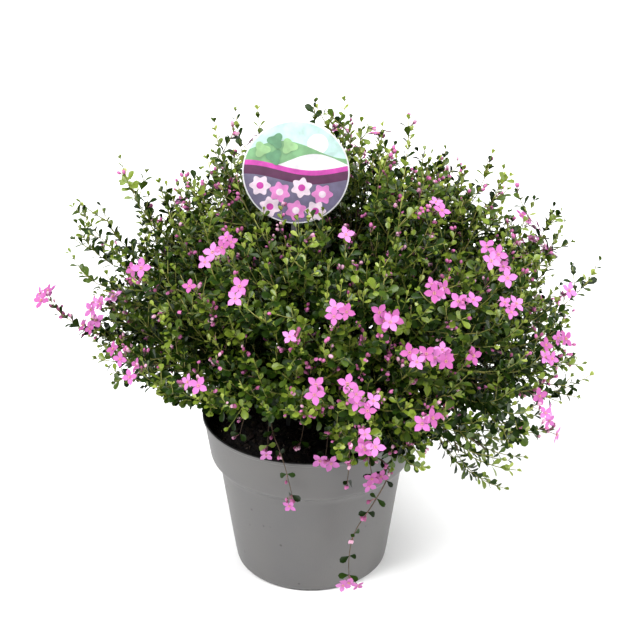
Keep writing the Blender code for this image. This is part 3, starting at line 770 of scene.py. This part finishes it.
def hides_label(point, margin=0.004):
    """Whether a point is in the label or between it and the eye, above the label's foot."""
    local = LABEL_INVERSE @ point
    if abs(local.z) < margin and local.xy.length < LABEL_RADIUS + margin:
        return True
    ahead = local.z / SIGHT.z
    foot = local - SIGHT * ahead
    if ahead < 0 or foot.y < LABEL_FOOT * LABEL_RADIUS:
        return False
    return foot.xy.length < LABEL_RADIUS + margin


def clear_of_pot(point, margin=0.002):
    """Whether a point is outside the pot, and above the soil and the floor."""
    if point.z < 0.008:
        return False
    return point.z > POT_HEIGHT + margin or point.xy.length > pot_radius(point.z) + margin


def crown_floor(arm):
    """How far above the fork the crown's underside is: it bares the soil at the front left."""
    around = math.degrees(math.atan2(arm.y, arm.x)) % 360
    for azimuth, slope in zip(FLOOR_AZIMUTHS, FLOOR_SLOPES):
        if around <= azimuth:
            break
    index = FLOOR_AZIMUTHS.index(azimuth)
    share = (around - FLOOR_AZIMUTHS[index - 1]) / (azimuth - FLOOR_AZIMUTHS[index - 1]) if index else 0
    slope = FLOOR_SLOPES[index - 1] * (1 - share) + slope * share if index else slope
    return slope * arm.xy.length


def has_room(mass, point, slack=0.0):
    """Whether a point is in the mass's own space, and clear of the pot, the floor and the label."""
    arm = point - FORK
    if (WALLS[mass.name] @ np.array(arm)).min() < -slack:
        return False
    if mass.elevation > 0 and arm.z < crown_floor(arm) - slack:
        return False
    return clear_of_pot(point) and not hides_label(point)


class Plant:
    """What grows, by kind, until it is all built at the end."""

    def __init__(self):
        self.wood = Bag()
        self.green_wood = Bag()
        self.stalks = Bag()
        self.leaves = {kind: ([], [], []) for kind in LEAF_KINDS}
        self.flowers = {kind: ([], [], []) for kind in PETAL_KINDS}
        self.buds = {kind: ([], [], []) for kind in BUD_KINDS}


def turn_to(along, facing):
    """A 3x3 array with X along one direction and Z as near as can be to another."""
    x = along.normalized()
    y = facing.cross(x)
    if y.length < 1e-6:
        y = x.orthogonal()
    y.normalize()
    z = x.cross(y)
    return np.array((x, y, z)).T


def jitter(rng, amount):
    return Vector(rng.uniform(-amount, amount, 3))


def grow_leaf(plant, kind, base, along, facing, size):
    if hides_label(base + along * size * LEAF_LENGTH) or hides_label(base):
        return
    places, turns, sizes = plant.leaves[kind]
    places.append(base)
    turns.append(turn_to(along, facing))
    sizes.append(LEAF_LENGTH * size)


def grow_flowers(plant, rng, base, along, count):
    """Open flowers on stalks that spread round a shoot's tip."""
    first = rng.uniform(0, 2 * math.pi)
    for k in range(count):
        around = Matrix.Rotation(first + k * GOLDEN_ANGLE, 3, along) @ along.orthogonal().normalized()
        spread = 0.25 if count == 1 else 1.0
        outward = (base - FORK).normalized()
        lean = (along * rng.uniform(0.5, 0.9) + around * spread + outward * 0.6 + jitter(rng, 0.2)).normalized()
        tip = base + lean * rng.uniform(*FLOWER_STALK_LENGTH)
        if hides_label(tip, 0.007) or not clear_of_pot(tip, 0.005):
            continue
        tube(plant.stalks, [base, base.lerp(tip, 0.5) + UP * 0.0004, tip], STALK_RADII, 3)
        face = (lean * 0.6 + outward + UP * 0.2 + jitter(rng, 0.6)).normalized()
        if base.y < FORK.y:
            face = (face + FRONT_TURN).normalized()
        places, turns, sizes = pick(rng, plant.flowers)
        places.append(tip)
        turns.append(turn_to(face.orthogonal(), face) @ spin(rng.uniform(0, 2 * math.pi)))
        sizes.append(PETAL_LENGTH * rng.uniform(0.72, 1.05))


def grow_buds(plant, rng, base, along, side, count):
    """Closed buds on short stalks from one leaf's axil."""
    for _ in range(count):
        lean = (along * rng.uniform(0.5, 1.2) + side * rng.uniform(0.3, 0.9) + jitter(rng, 0.4)).normalized()
        tip = base + lean * rng.uniform(*STALK_LENGTH)
        if hides_label(tip, 0.006) or not clear_of_pot(tip, 0.004):
            continue
        tube(plant.stalks, [base, base.lerp(tip, 0.5) + UP * 0.0003, tip], STALK_RADII, 3)
        places, turns, sizes = pick(rng, plant.buds)
        places.append(tip - lean * 0.0004)
        turns.append(turn_to(lean, UP))
        sizes.append(BUD_LENGTH * rng.uniform(0.7, 1.15))


def pick(rng, lists):
    """One of some kinds' lists, the earlier kinds more often."""
    kinds = list(lists)
    return lists[kinds[int(len(kinds) * rng.uniform() ** 1.4)]]


def spin(angle):
    return np.array(Matrix.Rotation(angle, 3, "Z"))


def grow_pair(plant, rng, base, along, across, near_tip, tone):
    """Two opposite leaves at a node of a shoot."""
    open_angle = math.radians(rng.uniform(42, 64) - 22 * near_tip**3)
    size = (0.74 + 0.36 * math.sin(math.pi * min(1, 0.2 + 0.75 * near_tip))) * (1 - 0.36 * near_tip**4)
    for side in (across, -across):
        leaf = along * math.cos(open_angle) + side * math.sin(open_angle) + jitter(rng, 0.18)
        face = along * math.sin(open_angle) - side * math.cos(open_angle) + UP * 0.6 + jitter(rng, 0.35)
        grow_leaf(plant, tone, base, leaf.normalized(), face, size * rng.uniform(0.82, 1.15))


def grow_shoot(plant, rng, route, outer, flowers=0, side_shoots=True):
    """A leafy shoot: opposite pairs, each pair a quarter turn on from the last, and its flowers."""
    tube(plant.green_wood, route, SHOOT_RADII, 4)
    length = sum((b - a).length for a, b in zip(route, route[1:]))
    pairs = max(2, round(length * (1 - LEAFLESS_SHARE) / LEAF_PITCH))
    turned = rng.uniform(0, math.pi)
    # Leaf colours by depth in the crown: the darker kinds on shoots short of its surface are painted shade, and the
    # lighter mix at its surface is partly painted light.
    inner = ("deep", "deep", "mature", "mature", "olive")
    rim = ("deep", "mature", "mature", "olive", "olive", "fresh")
    kinds = rim if outer > 0.85 else inner
    kind = kinds[rng.integers(len(kinds))]
    budding = rng.uniform() < BUDDING_SHARE * (0.2 + outer)
    for i in range(pairs + 1):
        share = LEAFLESS_SHARE + (1 - LEAFLESS_SHARE) * i / pairs
        base = point_along(route, share)
        along = (point_along(route, min(share + 0.05, 1)) - point_along(route, share - 0.06)).normalized()
        across = Matrix.Rotation(turned + i * math.pi / 2, 3, along) @ along.orthogonal().normalized()
        near_tip = i / pairs
        tone = kinds[rng.integers(len(kinds))] if rng.uniform() < MIXED_SHARE else kind
        # Lighter leaves near the tips of the outer shoots: young growth, and partly a painted highlight where light
        # falls on the crown's surface.
        if near_tip > 0.75 and outer > 0.8 and rng.uniform() < 0.6:
            tone = "young" if rng.uniform() < 0.35 else "fresh"
        grow_pair(plant, rng, base, along, across, near_tip, tone)
        if side_shoots and 0 < i < pairs - 1 and rng.uniform() < SIDE_SHOOTS:
            lean = (along * 0.7 + across * rng.choice((-1, 1)) * 0.75 + UP * 0.35 + jitter(rng, 0.2)).normalized()
            end = base + lean * rng.uniform(*SIDE_SHOOT_LENGTH)
            bend = base.lerp(end, 0.5) + along.cross(lean) * 0.001 - UP * 0.001
            if not hides_label(end, 0.008) and end.z > 0.012:
                grow_shoot(plant, rng, bezier(base, bend, end, 4), outer, side_shoots=False)
        if i == pairs:
            leaf = (along + jitter(rng, 0.35)).normalized()
            grow_leaf(plant, tone, base, leaf, UP + jitter(rng, 0.5), 0.55)
        if budding and near_tip > 0.5 and rng.uniform() < 0.7:
            grow_buds(plant, rng, base, along, across, rng.integers(1, 4))
    if flowers:
        base = point_along(route, 0.96)
        along = (route[-1] - route[-2]).normalized()
        grow_flowers(plant, rng, base, along, flowers)
        grow_buds(plant, rng, base, along, along.orthogonal().normalized(), rng.integers(1, 4))


def shoot_route(mass, limb, tip, length, upright):
    """A curve from a limb to a shoot's tip. It leaves the limb this far short of the tip."""
    reach = (tip - FORK).length
    for k in range(12):
        start_share = 1.0 - k / 11 * 0.85
        start = point_along(limb, start_share)
        if (start - FORK).length < reach - length:
            break
    arm = (tip - FORK).normalized()
    lift = LIFT + upright * max(arm.z, 0)
    if mass.elevation < 0:
        lift = HANGING_LIFT if mass.elevation < HANGING_BELOW else SPRAY_LIFT
    heading = (arm + UP * lift).normalized()
    return bezier(start, tip - heading * (tip - start).length * 0.5, tip, 7)


def grow_limbs(plant, rng, number, mass):
    """A mass's stem and the limbs that fork off it, out to part of the mass's reach."""
    axis = AXES[mass.name]
    side = axis.orthogonal().normalized()
    stem = stem_route(mass)
    tube(plant.wood, stem, (BOUGH_TIP_RADIUS, LIMB_RADII[1]), 8, wobble=0.12, seed=number * 1.7)
    spread = math.radians(mass.spread)
    count = LIMBS if mass.elevation > 0 else SPRAY_LIMBS
    limbs = []
    for k in range(count):
        off = spread * 0.85 * math.sqrt((k + 0.5) / count)
        lean = Matrix.Rotation(k * GOLDEN_ANGLE, 3, axis) @ side
        arm = axis * math.cos(off) + lean * math.sin(off)
        tip = FORK + arm * mass.reach * LIMB_REACH * rng.uniform(0.9, 1.1)
        start = point_along(stem, max(0.05, 0.7 - 0.75 * off / spread))
        gap = (tip - start).length
        bend = 0.0 if mass.elevation > 0 else 0.2
        limb = bezier(start, start.lerp(tip, 0.5) + axis * gap * 0.15 + UP * gap * bend, tip, 9)
        if all(has_room(mass, point, 0.006) for point in limb[3:]):
            tube(plant.wood, limb, LIMB_RADII, 6, wobble=0.1, seed=k + number)
            limbs.append(limb)
    return limbs + [stem]


def grow_mass(plant, number, mass):
    """A mass's limbs, and its leafy shoots out to all of its reach."""
    if not mass.shoots:
        return
    rng = np.random.default_rng([SEED, number])
    axis = AXES[mass.name]
    side = axis.orthogonal().normalized()
    limbs = grow_limbs(plant, rng, number, mass)
    ends = [(limb[-1] - FORK).normalized() for limb in limbs]
    shoots = [(Vector(tip), 1.0, flowers, LONG_SHOOT_LENGTH) for tip, flowers in SHOOT_TIPS]
    for azimuth, elevation, flowers in CLUSTERS:
        arm = direction(math.radians(azimuth), math.radians(elevation))
        shoots.append((FORK + arm * mass.reach * mass.fill * 1.03, 1.0, flowers, SHOOT_LENGTH))
    shoots = [shoot for shoot in shoots if has_room(mass, shoot[0])]
    seen = FRONT[0] < mass.azimuth < FRONT[1] and mass.elevation > 0
    inner = INNERMOST if mass.elevation > 0 else 0.82
    for k in range(mass.shoots):
        off = math.radians(mass.spread) * math.sqrt((k + 0.5) / mass.shoots)
        turn = k * GOLDEN_ANGLE + rng.uniform(-0.25, 0.25)
        lean = Matrix.Rotation(turn, 3, axis) @ side
        arm = axis * math.cos(off) + lean * math.sin(off)
        outer = 1.0 - (1.0 - inner) * rng.uniform() ** 1.5
        blooming = rng.uniform() < FLOWERING_SHARE and outer > 0.85 and not seen
        flowers = rng.integers(1, 5) if blooming else 0
        shoots.append((FORK + arm * mass.reach * mass.fill * outer, outer, flowers, SHOOT_LENGTH))
    for k in range(INNER_SHOOTS if mass.elevation > 0 else 0):
        off = math.radians(mass.spread) * math.sqrt((k + 0.5) / INNER_SHOOTS)
        lean = Matrix.Rotation(k * GOLDEN_ANGLE, 3, axis) @ side
        arm = axis * math.cos(off) + lean * math.sin(off)
        outer = rng.uniform(*INNER_SHARES)
        shoots.append((FORK + arm * mass.reach * mass.fill * outer, outer, 0, SHOOT_LENGTH))
    for tip, outer, flowers, length in shoots:
        if not has_room(mass, tip, OVERLAP):
            continue
        arm = (tip - FORK).normalized()
        limb = limbs[max(range(len(limbs)), key=lambda i: ends[i].dot(arm))]
        upright = LONG_SHOOT_LIFT if length is LONG_SHOOT_LENGTH else UPRIGHT_LIFT
        route = shoot_route(mass, limb, tip, rng.uniform(*length), upright)
        if all(clear_of_pot(point) and not hides_label(point) for point in route[1:]):
            grow_shoot(plant, rng, route, outer, flowers, side_shoots=mass.elevation > 0)


def grow_sprigs(plant):
    """The sprigs that trail over the soil and the pot's rim, with their leaves well apart."""
    rng = np.random.default_rng([SEED, len(MASSES)])
    tips = [bough_route(mass)[-1] for mass in MASSES]
    for points, flowers, dark in SPRIGS:
        corners = [Vector(p) for p in points]
        corners.insert(0, min(tips, key=lambda tip: (tip - corners[0]).length))
        route = [corners[0]]
        for before, here, after in zip(corners, corners[1:], corners[2:]):
            start = before if before is corners[0] else before.lerp(here, 0.5)
            end = after if after is corners[-1] else here.lerp(after, 0.5)
            route += bezier(start, here, end, 9)[1:]
        tube(plant.wood, route, (LIMB_RADII[0], SHOOT_RADII[1]), 6, wobble=0.1)
        length = sum((b - a).length for a, b in zip(route, route[1:]))
        pairs = round(length / SPRIG_PITCH)
        for i in range(2, pairs + 1):
            share = min((i + rng.uniform(-0.25, 0.25)) / pairs, 1)
            base = point_along(route, share)
            along = (point_along(route, min(share + 0.05, 1)) - point_along(route, share - 0.08)).normalized()
            outward = Vector((base.x, base.y, 0)).normalized()
            across = Matrix.Rotation(rng.uniform(-0.9, 0.9), 3, along) @ along.cross(outward).normalized()
            tone = ("deep" if i % 2 else "mature") if dark else ("olive" if i % 2 else "fresh")
            for side in (across, -across):
                leaf = (along * 0.35 + side + outward * 0.15 + UP * 0.2 + jitter(rng, 0.35)).normalized()
                size = SPRIG_LEAF * rng.uniform(0.65, 1.1)
                grow_leaf(plant, tone, base, leaf, outward + UP * 0.7 + jitter(rng, 0.6), size)
            if rng.uniform() < 0.8:
                grow_buds(plant, rng, base, along, (across + outward * 0.8).normalized(), rng.integers(1, 5))
        end = route[-1]
        along = (route[-1] - route[-2]).normalized()
        if flowers:
            outward = Vector((end.x, end.y, 0)).normalized()
            grow_flowers(plant, rng, end, (along * 0.5 + outward).normalized(), flowers)
            grow_buds(plant, rng, end, (along + outward).normalized(), outward, 3 * flowers)


def blade(stations, fold, droop):
    """A leaf or petal of unit length: (place, half width) stations between its base and its tip."""
    points = [(0, 0, 0)]
    for x, half in stations:
        sink = -droop * x * x
        points += [(x, half, sink + fold * half), (x, 0, sink), (x, -half, sink + fold * half)]
    points.append((1, 0, -droop))
    faces = [(0, 2, 1), (0, 3, 2)]
    for i in range(len(stations) - 1):
        a = 1 + 3 * i
        faces += [(a, a + 1, a + 4), (a, a + 4, a + 3), (a + 1, a + 2, a + 5), (a + 1, a + 5, a + 4)]
    last = 1 + 3 * (len(stations) - 1)
    tip = len(points) - 1
    faces += [(last, last + 1, tip), (last + 1, last + 2, tip)]
    return np.array(points, float), np.array(faces)


def joined(shapes):
    """One shape from several (points, faces) ones."""
    bag = Bag()
    for points, faces in shapes:
        bag.add(points, faces)
    return np.concatenate(bag.points), np.concatenate(bag.faces)


def moved(shape, turn, shift=(0, 0, 0), size=1.0):
    points, faces = shape
    return points @ np.array(turn).T * size + np.array(shift), faces


def ball_shape(length, radius, rings=4, sides=7):
    """An egg along +X, from the origin."""
    points = [(0, 0, 0)]
    for i in range(1, rings):
        turn = math.pi * i / rings
        x = length * (1 - math.cos(turn)) / 2
        r = radius * math.sin(turn) ** 0.8
        for k in range(sides):
            angle = 2 * math.pi * k / sides
            points.append((x, r * math.cos(angle), r * math.sin(angle)))
    points.append((length, 0, 0))
    faces = []
    for k in range(sides):
        after = (k + 1) % sides
        faces.append((0, 1 + after, 1 + k))
        for i in range(rings - 2):
            a = 1 + i * sides
            faces += [(a + k, a + after, a + sides + after), (a + k, a + sides + after, a + sides + k)]
        last = 1 + (rings - 2) * sides
        faces.append((last + k, last + after, len(points) - 1))
    return np.array(points, float), np.array(faces)


def flower_shapes():
    """Four pointed petals that open in +Z, and the ring of anthers round the middle."""
    petal = blade(((0.15, 0.16), (0.42, 0.33), (0.72, 0.28)), 0.22, -0.14)
    petals = joined([moved(petal, spin(k * math.pi / 2), (0, 0, 0.02)) for k in range(4)])
    rise = np.array(Matrix.Rotation(math.radians(-62), 3, "Y"))
    anther = ball_shape(0.17, 0.05, 2, 4)
    anthers = [moved(moved(anther, rise, (0.07, 0, 0.04)), spin(k * math.pi / 3)) for k in range(6)]
    return petals, joined(anthers)


def build_plant(plant):
    twig = new_material("twig_brown", (0.085, 0.055, 0.035), 0.7, 0.3)
    mottle(twig, ((0.055, 0.036, 0.024), (0.125, 0.085, 0.05)), 220, 4)
    finish_piece(plant.wood.build("twigs_woody", twig), "bark")
    green = new_material("twig_green", (0.16, 0.18, 0.04), 0.55, 0.3)
    mottle(green, ((0.12, 0.16, 0.028), (0.30, 0.28, 0.075)), 90, 3)
    finish_piece(plant.green_wood.build("twigs_green", green), "foliage")
    stalk = new_material("flower_stalk", (0.25, 0.12, 0.13), 0.55, 0.35)
    finish_piece(plant.stalks.build("flower_stalks", stalk), "foliage")
    shape = blade(((0.28, 0.13), (0.62, 0.30), (0.88, 0.235)), 0.28, 0.10)
    foliage_nodes = [f"foliage_{mass.name}" for mass in MASSES]
    for kind, (colour, gloss) in LEAF_KINDS.items():
        bag = Bag()
        bag.scatter(shape, *plant.leaves[kind])
        leaf = new_material(f"leaf_{kind}", colour, 0.34, gloss)
        piece = bag.build(f"leaves_{kind}", leaf)
        finish_piece(piece, "foliage", *(foliage_nodes if kind == "mature" else ()))
    petals, anthers = flower_shapes()
    centres = Bag()
    for kind, colour in PETAL_KINDS.items():
        bag = Bag()
        bag.scatter(petals, *plant.flowers[kind])
        centres.scatter(anthers, *plant.flowers[kind])
        finish_piece(bag.build(f"petals_{kind}", new_material(f"petal_{kind}", colour, 0.5, 0.3)), "foliage")
    finish_piece(centres.build("anthers", new_material("anther_gold", (0.62, 0.40, 0.16), 0.6)), "foliage")
    sepals = Bag()
    for kind, colour in BUD_KINDS.items():
        bag = Bag()
        bag.scatter(ball_shape(1.0, 0.36), *plant.buds[kind])
        sepals.scatter(ball_shape(0.36, 0.29, 3, 6), *plant.buds[kind])
        finish_piece(bag.build(f"buds_{kind}", new_material(f"bud_{kind}", colour, 0.45, 0.4)), "foliage")
    finish_piece(sepals.build("bud_sepals", new_material("sepal_red", (0.16, 0.09, 0.045), 0.55)), "foliage")


def flat_shape(name, outline, height, thickness, material):
    """A thin plate with this outline, (x, y) in the label's plane, at a height above its middle."""
    curve = bpy.data.curves.new(name, "CURVE")
    curve.dimensions = "2D"
    curve.fill_mode = "BOTH"
    curve.extrude = thickness / 2
    spline = curve.splines.new("POLY")
    spline.points.add(len(outline) - 1)
    for point, (x, y) in zip(spline.points, outline):
        point.co = (x, y, 0, 1)
    spline.use_cyclic_u = True
    guide = bpy.data.objects.new(name + "_guide", curve)
    bpy.context.scene.collection.objects.link(guide)
    bpy.context.view_layer.update()
    graph = bpy.context.evaluated_depsgraph_get()
    mesh = bpy.data.meshes.new_from_object(guide.evaluated_get(graph))
    bpy.data.objects.remove(guide)
    mesh.transform(label_matrix() @ Matrix.Translation((0, 0, height)))
    mesh.materials.clear()
    return object_from(name, mesh, material)


def circle(x, y, radius, steps=28):
    turns = [2 * math.pi * k / steps for k in range(steps)]
    return [(x + radius * math.cos(t), y + radius * math.sin(t)) for t in turns]


def rosette(x, y, radius, petals, depth, turned=0.0, steps=60):
    """A round flower outline with this many petals."""
    outline = []
    for k in range(steps):
        t = 2 * math.pi * k / steps
        r = radius * (1 - depth * (0.5 - 0.5 * math.cos(petals * (t - turned))))
        outline.append((x + r * math.cos(t), y + r * math.sin(t)))
    return outline


def band(top, bottom, radius, steps=60):
    """The part of a disc between two curves, each a function of x."""
    upper, lower = [], []
    for k in range(steps + 1):
        x = -radius * math.cos(math.pi * k / steps)
        rim = math.sqrt(max(radius * radius - x * x, 0)) + 1e-6
        upper.append((x, max(-rim, min(rim, top(x)))))
        lower.append((x, max(-rim - 1e-6, min(rim - 2e-6, bottom(x)))))
    return upper + lower[::-1]


def make_label():
    """The round card on its stake, with a plain garden design of hills, ribbons and rosettes."""
    card = new_material("label_card", (0.80, 0.80, 0.82), 0.32)
    mottle(card, ((0.76, 0.79, 0.80), (0.82, 0.80, 0.83)), 45, 2)
    stake = new_material("stake_grey", (0.09, 0.09, 0.095), 0.45)
    mottle(stake, ((0.08, 0.08, 0.085), (0.11, 0.11, 0.115)), 90, 3)
    half = STAKE_WIDTH / 2
    foot = (SOIL_TOP + GAP - LABEL_CENTRE.z) / math.cos(LABEL_LEAN) - 0.006
    disc = circle(0, 0, LABEL_RADIUS, LABEL_STEPS)
    finish_piece(flat_shape("label_disc", disc, 0, LABEL_THICKNESS, card), "label_card", "label")
    join_up = -LABEL_RADIUS + 0.004
    strip = [(half, join_up), (-half, join_up), (-half, foot + STAKE_POINT), (-half * 0.3, foot)]
    strip += [(half * 0.3, foot), (half, foot + STAKE_POINT)]
    finish_piece(flat_shape("label_stake", strip, -LABEL_THICKNESS, LABEL_THICKNESS, stake), "label_card")
    face = LABEL_RADIUS - 0.0012
    unit = face

    def wave(level, rise, pace, shift):
        return lambda x: unit * (level + rise * math.sin(pace * x / unit + shift))

    shapes = [
        ("haze", circle(0, 0, face, 90), (0.52, 0.74, 0.70)),
        ("sun", circle(unit * 0.40, unit * 0.58, unit * 0.20), (0.95, 0.93, 0.90)),
        ("hill_far", band(wave(0.46, 0.16, 2.6, 2.2), wave(-0.4, 0, 1, 0), face), (0.20, 0.42, 0.20)),
        ("hill_near", band(wave(0.24, 0.14, 3.2, 0.4), wave(-0.4, 0, 1, 0), face), (0.86, 0.84, 0.88)),
        ("field", band(wave(-0.06, 0.09, 2.6, 4.0), wave(-2, 0, 1, 0), face), (0.17, 0.15, 0.25)),
        ("ribbon_plum", band(wave(0.04, 0.09, 2.6, 4.0), wave(-0.14, 0.09, 2.6, 4.0), face), (0.10, 0.02, 0.075)),
        ("ribbon_pink", band(wave(0.14, 0.09, 2.6, 4.0), wave(0.04, 0.09, 2.6, 4.0), face), (0.62, 0.06, 0.42)),
    ]
    blooms = ((-0.68, -0.28), (-0.30, -0.40), (0.12, -0.30), (0.52, -0.42), (-0.48, -0.70), (0.02, -0.76), (0.40, -0.76))
    for k, (x, y) in enumerate(blooms):
        pink = (0.78, 0.26, 0.62) if k % 2 else (0.88, 0.72, 0.84)
        heart = (0.88, 0.72, 0.84) if k % 2 else (0.62, 0.06, 0.42)
        shapes.append((f"rosette_{k}", rosette(unit * x, unit * y, unit * 0.21, 6, 0.28, k * 0.7), pink))
        shapes.append((f"rosette_eye_{k}", circle(unit * x, unit * y, unit * 0.07, 16), heart))
    for k, (x, y) in enumerate(((-0.66, 0.44), (-0.40, 0.62), (-0.14, 0.52), (-0.42, 0.30))):
        green = (0.12, 0.30, 0.16) if k % 2 else (0.32, 0.56, 0.26)
        shapes.append((f"sprig_{k}", rosette(unit * x, unit * y, unit * 0.17, 3, 0.40, k), green))
    sheen = {}
    for layer, (name, outline, colour) in enumerate(shapes):
        if colour not in sheen:
            sheen[colour] = new_material(f"print_{len(sheen)}", colour, 0.3)
            mottle(sheen[colour], (tuple(c * 0.82 for c in colour), tuple(min(c * 1.12, 1) for c in colour)), 120, 3)
        height = LABEL_THICKNESS / 2 + 0.00002 * (layer + 1)
        finish_piece(flat_shape(f"print_{name}", outline, height, 0.00003, sheen[colour]), "label_card")


def main():
    make_camera()
    make_studio()
    make_pot()
    make_soil()
    make_limbs()
    make_label()
    plant = Plant()
    for number, mass in enumerate(MASSES):
        grow_mass(plant, number, mass)
    grow_sprigs(plant)
    build_plant(plant)
    counted = {obj.name: sum(len(f.vertices) - 2 for f in obj.data.polygons) for obj in bpy.data.objects if obj.type == "MESH" and not obj.hide_render}
    print("TRIANGLES", sum(counted.values()), {k: v for k, v in counted.items() if v > 20000})
    print("COUNTS", {k: len(v[0]) for k, v in plant.leaves.items()}, sum(len(v[0]) for v in plant.flowers.values()), sum(len(v[0]) for v in plant.buds.values()))


main()
